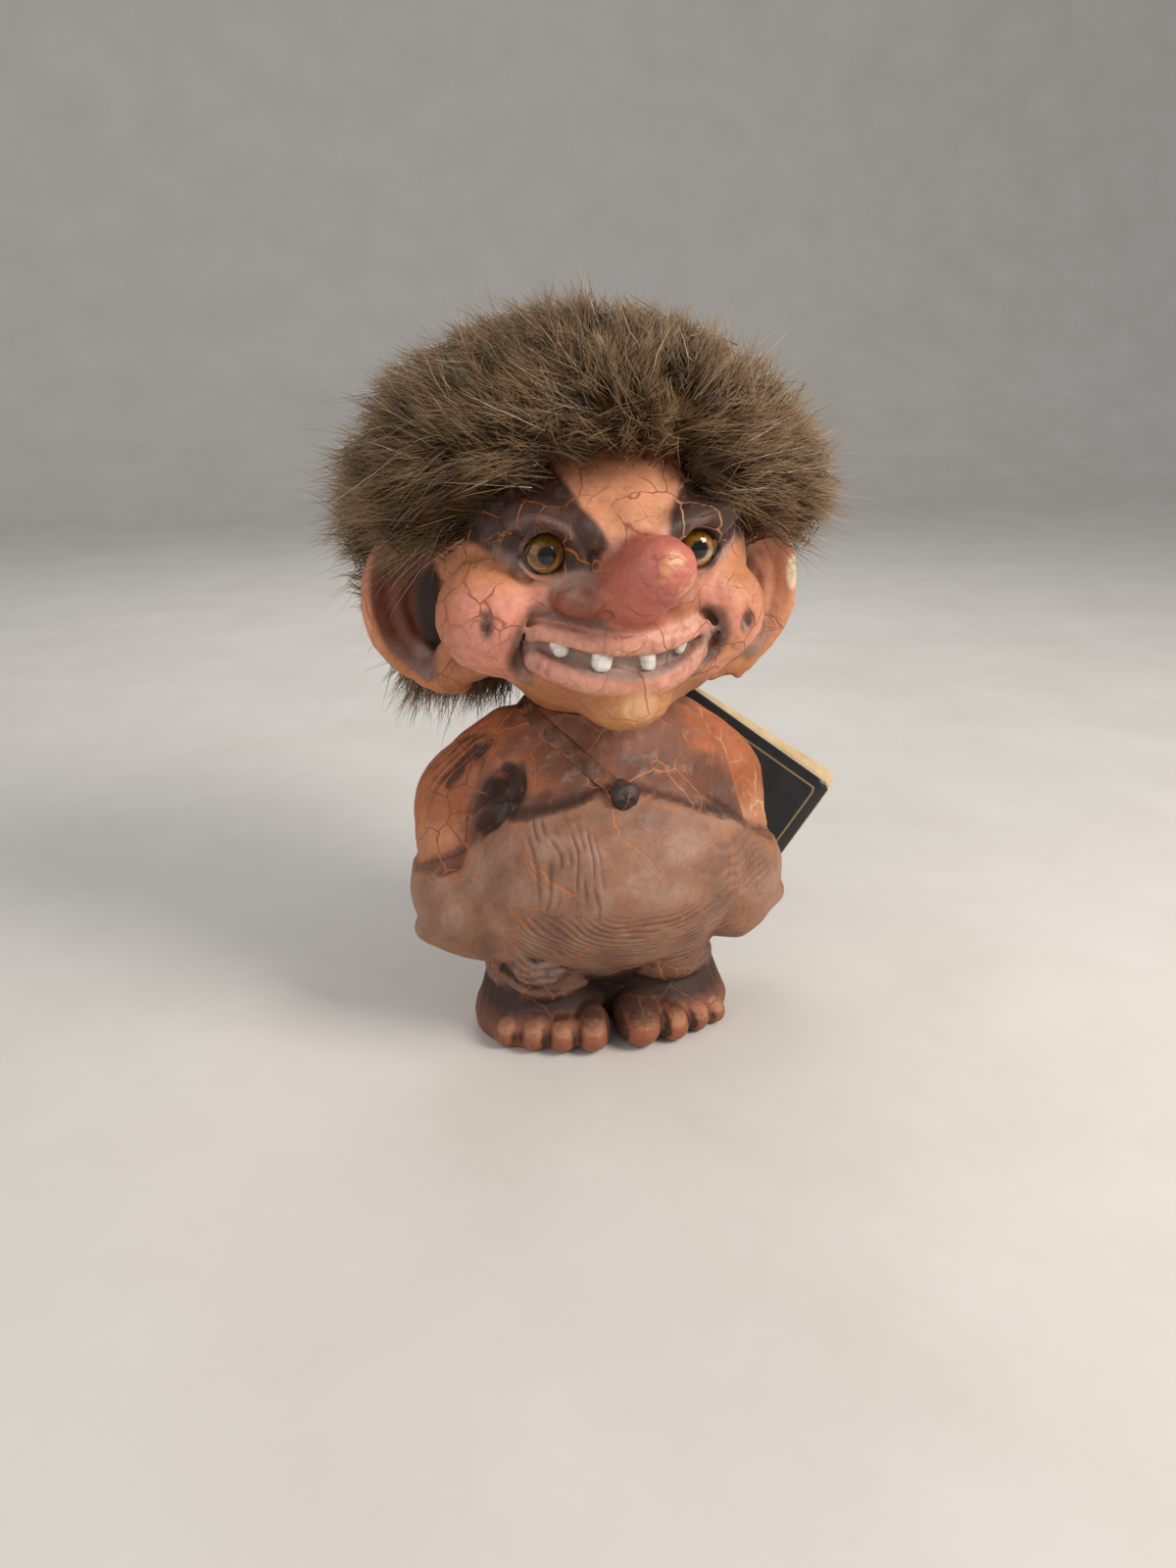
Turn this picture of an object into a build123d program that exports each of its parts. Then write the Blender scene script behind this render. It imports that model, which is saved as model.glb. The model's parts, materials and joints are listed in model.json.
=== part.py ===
from build123d import *
import os
from collections import namedtuple
from math import cos, radians, sin, sqrt

# Folk troll figure with a fur wig, glass eyes and a small hanging booklet tag.
# Millimetres. The figure faces -Y, +Z is up and its soles stand on Z = 0.
# Left and right are the viewer's: left is -X.

Ring = namedtuple("Ring", "height half_width half_depth centre_y")
Egg = namedtuple("Egg", "centre axis long_radius round_radius")
SIDES = {"left": -1, "right": 1}
egg_angles = [165, 140, 115, 90, 65, 40, 15]

# Clearances and seats, and a length that reaches beyond the whole figure
slip_fit = 0.1
rest_gap = 0.3
beyond = 180.0

# Body casting: level rings from under the soles up to the flat joint with the head
neck_height = 77.0
body_wall = 4.5
sole_trim = 4.0
torso_rings = [
    Ring(-sole_trim, 17.5, 13.5, 3.0),
    Ring(15.0, 21.5, 14.5, -3.0),
    Ring(25.0, 27.0, 21.0, -8.5),
    Ring(43.0, 31.5, 28.0, -12.0),
    Ring(60.0, 29.5, 24.5, -5.5),
    Ring(70.0, 24.5, 18.0, -2.0),
    Ring(neck_height, 15.0, 14.0, -3.0),
]

# Arms, with the hands tucked into the trouser pockets
shoulder = Vector(26.5, 1.0, 68.0)
elbow = Vector(33.5, 4.0, 47.0)
arm_radius = 9.5
arm_overrun = 10.0
pocket_centre = Vector(31.0, -5.0, 34.5)
pocket_half_depth = 16.0
pocket_radius = 12.5

# Feet: level rings beside the middle, and four toes along a line across each foot
foot_spread = 14.4
foot_rings = [
    Ring(-sole_trim, 12.5, 14.5, -7.0),
    Ring(4.5, 15.0, 17.5, -8.0),
    Ring(10.0, 13.0, 15.5, -7.0),
    Ring(18.0, 11.0, 11.0, -3.0),
]
big_toe = Vector(5.6, -23.0, 0.0)
toe_steps = [0.0, 9.4, 16.8, 23.0]
toe_radii = [4.7, 4.2, 3.8, 3.4]
toe_stretch = 1.6
toe_flat = 0.6
toe_line_angles = {"left": 28.0, "right": 15.0}

# Pour hole in the soles and the plug that closes it
pour_radius = 4.2
pour_y = 5.5
plug_length = 9.0
plug_recess = 0.6
plug_round = 1.0

# Neck spigot that locates the head
spigot_radius = 8.5
spigot_bore = 5.5
spigot_length = 9.0

# Head casting: level rings, heights counted from the neck joint
head_wall = 5.5
eye_rise = 36.0
head_rings = [
    Ring(neck_height, 15.0, 14.0, -3.0),
    Ring(neck_height + 7.0, 21.5, 22.0, -7.0),
    Ring(neck_height + 15.0, 28.5, 27.0, -5.0),
    Ring(neck_height + 25.0, 32.5, 30.5, -1.0),
    Ring(neck_height + eye_rise, 33.0, 33.0, 3.0),
    Ring(neck_height + 49.0, 30.5, 32.0, 6.0),
    Ring(neck_height + 57.0, 22.0, 24.0, 7.0),
    Ring(neck_height + 62.0, 10.5, 11.5, 7.0),
]

# Face, heights counted from the neck joint unless the neck height is in them
cheek_radius = 11.8
cheek_place = Vector(24.5, -17.5, 22.5)
muzzle = Egg(Vector(-1.0, -23.0, neck_height + 16.0), Vector(1, 0, 0), 20.0, 11.0)
chin_radius = 7.0
chin_place = Vector(-0.5, -27.0, 5.5)
nose_root = Vector(0.0, -30.0, 30.0)
nose_tip = Vector(0.0, -42.0, 36.0)
nose_radius = 7.3
nose_overrun = 3.6
nostril_radius = 5.5
nostril_place = Vector(9.5, -31.0, 27.8)
brow_inner = Vector(5.0, -31.0, 38.5)
brow_outer = Vector(22.5, -23.0, 43.5)
brow_radius = 4.8
brow_overrun = 2.0

# Mouth: a slit along an arc, with four teeth in the upper lip
mouth_x = -2.0
mouth_rise = 13.5
mouth_arc_radius = 23.0
mouth_arc_angle = 84.0
mouth_height = 3.4
mouth_floor = 27.0
tooth_offsets = [-12.5, -4.6, 4.6, 11.8]
tooth_width = 3.0
tooth_height = 3.6
tooth_depth = 5.0
tooth_lift = 1.3
tooth_recess = 1.0
tooth_round = 0.8

# Ears: cupped plates turned a little outwards
ear_place = Vector(38.0, 5.0, 19.5)
ear_half_width = 11.8
ear_half_height = 18.0
ear_thickness = 6.4
ear_turn = 22.0
ear_tilt = 12.0
ear_rim = 3.4
ear_bowl_depth = 3.4
ear_edge_round = 2.2

# Glass eyes: a domed button, a painted iris behind it and a stem in the head wall
eye_spread = 15.4
eye_radius = 4.0
eye_seat_depth = 2.0
eye_dome = 3.0
iris_thickness = 0.5
stem_radius = 0.8
stem_length = 4.0

# Wig: a cloth backing on the scalp and the fur standing on it
backing_thickness = 0.8
fur_rings = [
    Ring(neck_height + 4.0, 35.0, 15.5, 18.5),
    Ring(neck_height + 14.0, 44.5, 27.0, 13.5),
    Ring(neck_height + 27.0, 51.5, 38.0, 9.5),
    Ring(neck_height + 39.0, 54.0, 42.0, 8.0),
    Ring(neck_height + 53.0, 52.0, 41.5, 7.0),
    Ring(neck_height + 67.0, 42.0, 35.0, 7.0),
    Ring(neck_height + 76.5, 27.0, 23.0, 7.0),
    Ring(neck_height + 82.0, 9.0, 8.0, 7.0),
]
fringe_rise = 50.0
temple_y = -6.0
temple_rise = 37.5
nape_y = 9.0
ear_top_rise = 33.0
nape_rise = 5.0

# Shoulder strap and the knotted button at its lower end
strap_thickness = 1.2
strap_width = 3.6
strap_top = Vector(-20.0, 80.0)
button_place = Vector(-1.2, 62.6)
button_radius = 3.7
button_half_thickness = 2.6

# Booklet tag, leaning on the back of the right arm
tag_length = 56.0
tag_height = 42.0
cover_thickness = 0.5
leaf_thickness = 1.0
sheet_gap = 0.05
leaf_inset = 1.2
tag_turn = 14.0
tag_lean = 12.0
tag_slope = 35.0
tag_corner_round = 1.5
tag_out = 30.4
tag_up = 11.5
staple_radius = 0.25
staple_length = 9.0
staple_spacing = 20.0
staple_gap = 0.2
tag_hole_radius = 1.4
tag_hole_along = 16.4
tag_hole_down = 4.5


def mirrored(place, side):
    """The same place on either side of the figure's middle plane."""
    return Vector(place.X * side, place.Y, place.Z)


def on_head(place, side=1):
    """A place on the head, its height counted from the neck joint."""
    return Vector(place.X * side, place.Y, place.Z + neck_height)


def span_egg(start, end, round_radius, overrun):
    """An egg whose length runs from start to end and past both by overrun."""
    run = end - start
    return Egg((start + end) / 2, run.normalized(), run.length / 2 + overrun, round_radius)


def egg_reach(egg, direction):
    """How far along a unit direction the egg's surface reaches."""
    share = egg.axis.dot(direction)
    half = sqrt((egg.long_radius * share) ** 2 + egg.round_radius**2 * (1 - share**2))
    return egg.centre.dot(direction) + half


def ring_loft(rings, grow=0.0, centre_x=0.0):
    """One smooth skin through an ellipse on each ring's level, widened by grow."""
    with BuildPart() as form:
        for ring in rings:
            with BuildSketch(Plane.XY.offset(ring.height)):
                with Locations((centre_x, ring.centre_y)):
                    Ellipse(ring.half_width + grow, ring.half_depth + grow)
        loft()
    return form.part


def egg_solid(egg):
    """One smooth skin through circles across the egg's long axis, cut flat just short of both ends."""
    with BuildPart() as form:
        for turned in egg_angles:
            station = egg.centre + egg.axis * (egg.long_radius * cos(radians(turned)))
            with BuildSketch(Plane(origin=station, z_dir=egg.axis)):
                Circle(egg.round_radius * sin(radians(turned)))
        loft()
    return form.part


def ear_plane(side):
    """The plate's middle plane, its X pointing away from the head and its Z to the front."""
    turn = radians(ear_turn)
    return Plane(
        origin=on_head(ear_place, side),
        x_dir=(side * cos(turn), sin(turn), 0),
        z_dir=(side * sin(turn), -cos(turn), 0),
    )


def ear_plate(side, grow=0.0):
    """A tilted ellipse as thick as the ear, widened all round by grow."""
    with BuildPart() as form:
        with BuildSketch(ear_plane(side)):
            Ellipse(ear_half_width + grow, ear_half_height + grow, rotation=-side * ear_tilt)
        extrude(amount=ear_thickness / 2 + grow, both=True)
    return form.part


def cupped_ear(side):
    """The ear plate with a rounded edge and its front hollowed inside the rim."""
    with BuildPart() as form:
        add(ear_plate(side))
        fillet(form.edges(), ear_edge_round)
        with BuildSketch(ear_plane(side).offset(ear_thickness / 2 - ear_bowl_depth)):
            Ellipse(ear_half_width - ear_rim, ear_half_height - ear_rim, rotation=-side * ear_tilt)
        extrude(amount=ear_bowl_depth, mode=Mode.SUBTRACT)
    return form.part


def scalp_region():
    """Everything above the hairline: over the brow, past the temples and down behind the ears."""
    with BuildPart() as form:
        with BuildSketch(Plane.YZ):
            with BuildLine():
                Polyline(
                    (-beyond, neck_height + fringe_rise),
                    (temple_y - (fringe_rise - temple_rise), neck_height + fringe_rise),
                    (temple_y, neck_height + temple_rise),
                    (nape_y, neck_height + ear_top_rise),
                    (nape_y, neck_height + nape_rise),
                    (beyond, neck_height + nape_rise),
                    (beyond, neck_height + beyond),
                    (-beyond, neck_height + beyond),
                    close=True,
                )
            make_face()
        extrude(amount=beyond, both=True)
    return form.part


# Body casting: torso, arms, pockets and feet in one hollow piece
right_arm = span_egg(shoulder, elbow, arm_radius, arm_overrun)
right_pocket = Egg(pocket_centre, Vector(0, 1, 0), pocket_half_depth, pocket_radius)
torso = ring_loft(torso_rings)
limbs = []
for side_name, side in SIDES.items():
    arm = span_egg(mirrored(shoulder, side), mirrored(elbow, side), arm_radius, arm_overrun)
    limbs.append(egg_solid(arm))
    limbs.append(egg_solid(right_pocket._replace(centre=mirrored(pocket_centre, side))))
    limbs.append(ring_loft(foot_rings, centre_x=side * foot_spread))
    toe_angle = radians(toe_line_angles[side_name])
    for step, radius in zip(toe_steps, toe_radii):
        stride = Vector(side * step * cos(toe_angle), step * sin(toe_angle), radius - toe_flat)
        tip = mirrored(big_toe, side) + stride
        pointing = Vector(side * sin(toe_angle), -cos(toe_angle), 0)
        limbs.append(egg_solid(Egg(tip, pointing, radius * toe_stretch, radius)))
body_cavity = ring_loft(torso_rings[1:-1], grow=-body_wall)

with BuildPart() as body_casting:
    add(torso)
    for limb in limbs:
        add(limb)
    with Locations(Plane.XY):
        Box(
            beyond,
            beyond,
            sole_trim * 2,
            align=(Align.CENTER, Align.CENTER, Align.MAX),
            mode=Mode.SUBTRACT,
        )
    with Locations((0, head_rings[0].centre_y, neck_height)):
        Cylinder(spigot_radius, spigot_length, align=(Align.CENTER, Align.CENTER, Align.MIN))
    add(body_cavity, mode=Mode.SUBTRACT)
    with Locations((0, head_rings[0].centre_y, neck_height + spigot_length)):
        Cylinder(
            spigot_bore,
            spigot_length + neck_height - torso_rings[-2].height,
            align=(Align.CENTER, Align.CENTER, Align.MAX),
            mode=Mode.SUBTRACT,
        )
    with Locations((0, pour_y, 0)):
        Cylinder(
            pour_radius,
            torso_rings[1].height,
            align=(Align.CENTER, Align.CENTER, Align.MIN),
            mode=Mode.SUBTRACT,
        )

with BuildPart() as base_plug:
    with Locations((0, pour_y, plug_recess)):
        Cylinder(pour_radius - slip_fit, plug_length, align=(Align.CENTER, Align.CENTER, Align.MIN))
    fillet(base_plug.edges().sort_by(Axis.Z)[-1], plug_round)

# Teeth: rounded pegs set along the mouth's arc under the upper lip
mouth_plane = Plane.XZ.offset(mouth_floor)
mouth_centre_z = neck_height + mouth_rise + mouth_arc_radius
with BuildPart() as teeth:
    for offset_x in tooth_offsets:
        tooth_x = mouth_x + offset_x
        tooth_z = mouth_centre_z - sqrt(mouth_arc_radius**2 - offset_x**2) + tooth_lift
        muzzle_share = (tooth_x - muzzle.centre.X) / muzzle.long_radius
        tooth_front = muzzle.centre.Y - muzzle.round_radius * sqrt(1 - muzzle_share**2) + tooth_recess
        with BuildSketch(Plane.XZ.offset(-tooth_front)):
            with Locations((tooth_x, tooth_z)):
                RectangleRounded(tooth_width, tooth_height, tooth_round)
        extrude(amount=-tooth_depth)

# Head casting: skull, face and ears in one hollow piece, with seats for the eyes and teeth
face_forms = [egg_solid(muzzle)]
eye_ring = head_rings[4]
eye_share = sqrt(1 - (eye_spread / eye_ring.half_width) ** 2)
eye_surface = -(eye_ring.centre_y - eye_ring.half_depth * eye_share)
eye_seat = Plane.XZ.offset(eye_surface - eye_seat_depth)
for side in SIDES.values():
    brow_ends = on_head(brow_inner, side), on_head(brow_outer, side)
    face_forms.append(egg_solid(span_egg(*brow_ends, brow_radius, brow_overrun)))
    nostril = Egg(on_head(nostril_place, side), Vector(1, 0, 0), nostril_radius, nostril_radius)
    face_forms.append(egg_solid(nostril))
    face_forms.append(cupped_ear(side))
face_forms.append(egg_solid(span_egg(on_head(nose_root), on_head(nose_tip), nose_radius, nose_overrun)))
skull = ring_loft(head_rings)
head_cavity = ring_loft(head_rings[1:-1], grow=-head_wall)

with BuildPart() as head_casting:
    add(skull)
    for form in face_forms:
        add(form)
    for side in SIDES.values():
        with Locations(on_head(cheek_place, side)):
            Sphere(cheek_radius)
    with Locations(on_head(chin_place)):
        Sphere(chin_radius)
    with Locations(on_head(nose_tip)):
        Sphere(nose_radius)
    add(head_cavity, mode=Mode.SUBTRACT)
    with Locations((0, head_rings[0].centre_y, neck_height)):
        Cylinder(
            spigot_radius + slip_fit,
            spigot_length + slip_fit,
            align=(Align.CENTER, Align.CENTER, Align.MIN),
            mode=Mode.SUBTRACT,
        )
    with BuildSketch(mouth_plane):
        with BuildLine():
            mouth_arc = CenterArc(
                (mouth_x, mouth_centre_z),
                mouth_arc_radius,
                -90 - mouth_arc_angle / 2,
                mouth_arc_angle,
            )
        SlotArc(mouth_arc, mouth_height)
    extrude(amount=beyond, mode=Mode.SUBTRACT)
    add(teeth.part, mode=Mode.SUBTRACT)
    with BuildSketch(eye_seat):
        for side in SIDES.values():
            with Locations((side * eye_spread, neck_height + eye_rise)):
                Circle(eye_radius + slip_fit)
    extrude(amount=beyond, mode=Mode.SUBTRACT)
    with BuildSketch(eye_seat):
        for side in SIDES.values():
            with Locations((side * eye_spread, neck_height + eye_rise)):
                Circle(stem_radius + slip_fit)
    extrude(amount=-stem_length - slip_fit, mode=Mode.SUBTRACT)

# Wig: the scalp's shape grown by the backing, and the fur's outer shape around it
scalp = scalp_region()
ear_room = [ear_plate(side, grow=rest_gap) for side in SIDES.values()]

with BuildPart() as wig_backing:
    add(ring_loft(head_rings, grow=backing_thickness))
    add(scalp, mode=Mode.INTERSECT)
    add(ear_room, mode=Mode.SUBTRACT)
    add(skull, mode=Mode.SUBTRACT)
    add(head_casting.part, mode=Mode.SUBTRACT)

with BuildPart() as wig_fur:
    add(ring_loft(fur_rings))
    add(scalp, mode=Mode.INTERSECT)
    add(ear_room, mode=Mode.SUBTRACT)
    add(ring_loft(head_rings, grow=backing_thickness), mode=Mode.SUBTRACT)
    add(head_casting.part, mode=Mode.SUBTRACT)

# Shoulder strap: a band of the chest's own skin, and its button
strap_run = button_place - strap_top
strap_plane = Plane(
    origin=(strap_top.X, 0, strap_top.Y),
    x_dir=(strap_run.X, 0, strap_run.Y),
    z_dir=(0, -1, 0),
)
with BuildPart() as shoulder_strap:
    add(ring_loft(torso_rings, grow=strap_thickness))
    with BuildSketch(strap_plane):
        with Locations((strap_run.length / 2, 0)):
            SlotOverall(strap_run.length + strap_width, strap_width)
    extrude(amount=beyond, mode=Mode.INTERSECT)
    add(torso, mode=Mode.SUBTRACT)
    add(body_casting.part, mode=Mode.SUBTRACT)

chest_low, chest_high = torso_rings[4], torso_rings[5]
button_share = (button_place.Y - chest_low.height) / (chest_high.height - chest_low.height)
chest_low_front = chest_low.centre_y - chest_low.half_depth
chest_high_front = chest_high.centre_y - chest_high.half_depth
button_y = chest_low_front + (chest_high_front - chest_low_front) * button_share
button_egg = Egg(
    Vector(button_place.X, button_y - strap_thickness, button_place.Y),
    Vector(0, 1, 0),
    button_half_thickness,
    button_radius,
)
with BuildPart() as strap_button:
    add(egg_solid(button_egg))
    add(body_casting.part, mode=Mode.SUBTRACT)
    add(shoulder_strap.part, mode=Mode.SUBTRACT)

# Booklet tag. Its plane has X along the top edge and Z towards the figure's front.
turn, lean, slope = radians(tag_turn), radians(tag_lean), radians(tag_slope)
level = Vector(cos(turn), -sin(turn), 0)
upward = Vector(sin(turn) * sin(lean), cos(turn) * sin(lean), cos(lean))
along = level * cos(slope) - upward * sin(slope)
across = level * sin(slope) + upward * cos(slope)
forward = along.cross(across)
backing_off = max(egg_reach(right_arm, -forward), egg_reach(right_pocket, -forward)) + rest_gap
arm_foot = right_arm.centre + forward * (-backing_off - right_arm.centre.dot(forward))
tag_origin = arm_foot + along * (tag_out - tag_length) + across * tag_up
tag_plane = Plane(origin=tag_origin, x_dir=along, z_dir=forward)
sheet_start = staple_radius + staple_gap
block_depth = 2 * cover_thickness + 2 * leaf_thickness + 3 * sheet_gap


def tag_sheet(front, thickness, inset):
    """A card with its spine edge at the fold and a punched hole, its front face at the given depth."""
    with BuildPart() as form:
        with BuildSketch(tag_plane.offset(-front)) as card:
            with Locations((sheet_start, -inset)):
                Rectangle(
                    tag_length - sheet_start - inset,
                    tag_height - 2 * inset,
                    align=(Align.MIN, Align.MAX),
                )
            fillet(card.vertices().group_by(Axis(tag_origin, along))[-1], tag_corner_round)
            with Locations((tag_hole_along, -tag_hole_down)):
                Circle(tag_hole_radius, mode=Mode.SUBTRACT)
        extrude(amount=-thickness)
    return form


leaf_front = cover_thickness + sheet_gap
leaf_back = leaf_front + leaf_thickness + sheet_gap
back_front = leaf_back + leaf_thickness + sheet_gap
tag_front_cover = tag_sheet(0, cover_thickness, 0)
tag_front_leaves = tag_sheet(leaf_front, leaf_thickness, leaf_inset)
tag_back_leaves = tag_sheet(leaf_back, leaf_thickness, leaf_inset)
tag_back_cover = tag_sheet(back_front, cover_thickness, 0)

fold_plane = Plane(origin=tag_origin - forward * (block_depth / 2), x_dir=along, z_dir=across)
with BuildPart() as tag_staples:
    for place in (-1, 1):
        middle = -tag_height / 2 + place * staple_spacing / 2
        with BuildSketch(fold_plane.offset(middle - staple_length / 2)):
            Circle(staple_radius)
        extrude(amount=staple_length)

pieces = {
    "body_casting": body_casting,
    "base_plug": base_plug,
    "head_casting": head_casting,
    "teeth": teeth,
    "wig_backing": wig_backing,
    "wig_fur": wig_fur,
    "shoulder_strap": shoulder_strap,
    "strap_button": strap_button,
    "tag_front_cover": tag_front_cover,
    "tag_front_leaves": tag_front_leaves,
    "tag_back_leaves": tag_back_leaves,
    "tag_back_cover": tag_back_cover,
    "tag_staples": tag_staples,
}

# Eyes: glass, iris and stem on the seat's axis, one of each a side
for side_name, side in SIDES.items():
    eye_centre = (side * eye_spread, neck_height + eye_rise)
    with BuildPart() as eye_stem:
        with BuildSketch(eye_seat):
            with Locations(eye_centre):
                Circle(stem_radius)
        extrude(amount=-stem_length)
    with BuildPart() as eye_iris:
        with BuildSketch(eye_seat):
            with Locations(eye_centre):
                Circle(eye_radius)
        extrude(amount=iris_thickness)
    with BuildPart() as eye_glass:
        with BuildSketch(eye_seat.offset(iris_thickness)):
            with Locations(eye_centre):
                Circle(eye_radius)
        extrude(amount=eye_seat_depth - iris_thickness + eye_dome)
        fillet(eye_glass.edges().sort_by(Axis.Y)[0], eye_dome)
    pieces["eye_stem_" + side_name] = eye_stem
    pieces["eye_iris_" + side_name] = eye_iris
    pieces["eye_glass_" + side_name] = eye_glass

os.makedirs("parts", exist_ok=True)
for name, piece in pieces.items():
    piece.part.label = name
    export_step(piece.part, f"parts/{name}.step")

# Places that the joints use
hole = tag_plane.from_local_coords(Vector(tag_hole_along, -tag_hole_down, 0))
print("tag hole", hole, "swing axis", forward)
print("tag fold", fold_plane.origin, "fold axis", across)
print("tag top corner", tag_plane.from_local_coords(Vector(tag_length, 0, 0)))
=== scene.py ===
# %% [markdown]
# # A folk troll with a fur wig
#
# The figure is a painted, crazed casting about 16 cm tall: a big head with cupped ears, a pear of a body
# with its hands in its pockets, and two broad feet. It wears a long-pile fur wig and glass eyes, and a
# small booklet tag hangs at its back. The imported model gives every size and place, and this lesson dresses
# it.

# %% Load the frame
import json
from collections import namedtuple
from math import cos, pi, radians, sin

import bpy
import numpy as np
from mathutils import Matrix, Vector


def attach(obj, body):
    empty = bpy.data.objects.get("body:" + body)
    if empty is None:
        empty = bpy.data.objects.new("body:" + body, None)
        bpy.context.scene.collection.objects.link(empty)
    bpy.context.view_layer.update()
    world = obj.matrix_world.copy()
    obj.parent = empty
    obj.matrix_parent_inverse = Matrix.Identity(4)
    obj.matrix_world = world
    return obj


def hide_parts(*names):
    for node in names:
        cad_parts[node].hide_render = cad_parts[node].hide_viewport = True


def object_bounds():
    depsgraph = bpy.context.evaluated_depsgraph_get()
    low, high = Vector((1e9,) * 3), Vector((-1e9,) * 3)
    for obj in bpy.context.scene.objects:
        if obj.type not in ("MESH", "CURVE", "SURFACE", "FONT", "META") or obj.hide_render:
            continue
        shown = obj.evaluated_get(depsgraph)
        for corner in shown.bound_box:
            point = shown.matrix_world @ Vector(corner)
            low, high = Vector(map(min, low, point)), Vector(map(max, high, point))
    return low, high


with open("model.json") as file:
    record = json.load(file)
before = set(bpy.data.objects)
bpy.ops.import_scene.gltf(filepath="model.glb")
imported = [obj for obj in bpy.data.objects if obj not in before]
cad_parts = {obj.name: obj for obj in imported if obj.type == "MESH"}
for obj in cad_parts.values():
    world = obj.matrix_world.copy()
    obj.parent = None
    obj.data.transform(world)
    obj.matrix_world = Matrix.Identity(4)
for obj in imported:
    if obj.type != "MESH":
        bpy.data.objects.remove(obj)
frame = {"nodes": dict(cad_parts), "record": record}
cad_box = [[float(value) for value in corner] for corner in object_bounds()]
MM = 0.001
SIDES = {"left": -1, "right": 1}
print("frame:", len(frame["nodes"]), "nodes, box", np.round(cad_box, 4).tolist())

# %% [markdown]
# ## Meshes from arrays
#
# Every new piece is worked out as whole numpy arrays in millimetres and handed to the mesh in one go.
# Setting the arrays directly is far quicker than adding points one by one, and the object stays at the
# origin, as the CAD's do.

# %% Mesh and palette helpers


def linear(text):
    """A colour written as six hex digits, turned from screen values to linear light."""
    screen = np.array([int(text[i : i + 2], 16) for i in (0, 2, 4)]) / 255
    return np.where(screen <= 0.04045, screen / 12.92, ((screen + 0.055) / 1.055) ** 2.4)


def add_mesh(name, points, faces):
    """A smooth-shaded object from points in millimetres and faces with the same number of corners each."""
    mesh = bpy.data.meshes.new(name)
    count, corners = faces.shape
    mesh.vertices.add(len(points))
    mesh.vertices.foreach_set("co", (np.asarray(points) * MM).astype(np.float32).ravel())
    mesh.loops.add(count * corners)
    mesh.loops.foreach_set("vertex_index", faces.astype(np.int32).ravel())
    mesh.polygons.add(count)
    mesh.polygons.foreach_set("loop_start", np.arange(0, count * corners, corners, dtype=np.int32))
    mesh.polygons.foreach_set("use_smooth", np.ones(count, bool))
    mesh.update(calc_edges=True)
    mesh.validate()
    piece = bpy.data.objects.new(name, mesh)
    bpy.context.scene.collection.objects.link(piece)
    return piece


def add_colour(piece, name, colours):
    """A colour for each point, which a material reads as an attribute."""
    layer = piece.data.attributes.new(name, "FLOAT_COLOR", "POINT")
    layer.data.foreach_set("color", np.c_[colours, np.ones(len(colours))].astype(np.float32).ravel())


def settle(piece, finish, nodes=(), body="figure"):
    """Gives a piece its finish, its body and the CAD nodes that it stands for."""
    piece.data.materials.append(finish)
    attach(piece, body)
    if nodes:
        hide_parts(*nodes)
    faces = piece.data.polygons
    triangles = (len(faces[0].vertices) - 2) * len(faces)
    print(f"{piece.name}: {len(piece.data.vertices)} points, {triangles} triangles")
    return piece


def grid_faces(rows, columns, closed_rows=False, closed_columns=True):
    """Quads between neighbouring rows and columns of a grid, wrapping round where a direction is closed."""
    numbers = np.arange(rows * columns).reshape(rows, columns)
    if closed_rows:
        numbers = np.vstack([numbers, numbers[:1]])
    if closed_columns:
        numbers = np.hstack([numbers, numbers[:, :1]])
    corners = numbers[:-1, :-1], numbers[:-1, 1:], numbers[1:, 1:], numbers[1:, :-1]
    return np.stack(corners, axis=-1).reshape(-1, 4)


# %% [markdown]
# ## Clay: shapes as distances
#
# The head and body are soft, modelled forms that flow into each other, so no single grid fits them. They
# are made as a sculptor works: lumps of clay are added, blended and cut. Each lump is a formula for the
# distance to its surface, sampled in a block of small cubes, and a skin is then drawn where the distance is
# zero.

# %% Curves and lumps
Form = namedtuple("Form", "distance low high")
FAR, TINY = 60.0, 1e-6
CURVE_POINTS = 24


def through(knots, values, at):
    """A curve through values at knots: cubic spans, each knot's slope taken from its neighbours."""
    knots = np.asarray(knots, float)
    values = np.asarray(values, float)
    slopes = np.gradient(values, knots)
    span = np.clip(np.searchsorted(knots, at) - 1, 0, len(knots) - 2)
    width = knots[span + 1] - knots[span]
    t = np.clip((at - knots[span]) / width, 0, 1)
    rising = t * t * (3 - 2 * t)
    swing = t * (1 - t) * width * ((1 - t) * slopes[span] - t * slopes[span + 1])
    return values[span] + (values[span + 1] - values[span]) * rising + swing


def bend(points, count=CURVE_POINTS):
    """A smooth curve through points, evenly sampled along the chain that joins them."""
    points = np.array(points, float)
    along = np.concatenate([[0], np.cumsum(np.linalg.norm(np.diff(points, axis=0), axis=1))])
    at = np.linspace(0, along[-1], count)
    return np.stack([through(along, column, at) for column in points.T], axis=1)


def squared(value, power):
    """A wave made squarer: its size raised to a power below one, with its sign kept."""
    return np.sign(value) * np.abs(value) ** power


def ellipse(across, up, wide, high):
    """The distance to an ellipse, as for the egg below but in two directions: k (k - 1) / g."""
    k = np.sqrt((across / wide) ** 2 + (up / high) ** 2)
    g = np.sqrt((across / wide**2) ** 2 + (up / high**2) ** 2) + TINY
    return k * (k - 1) / g


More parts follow.
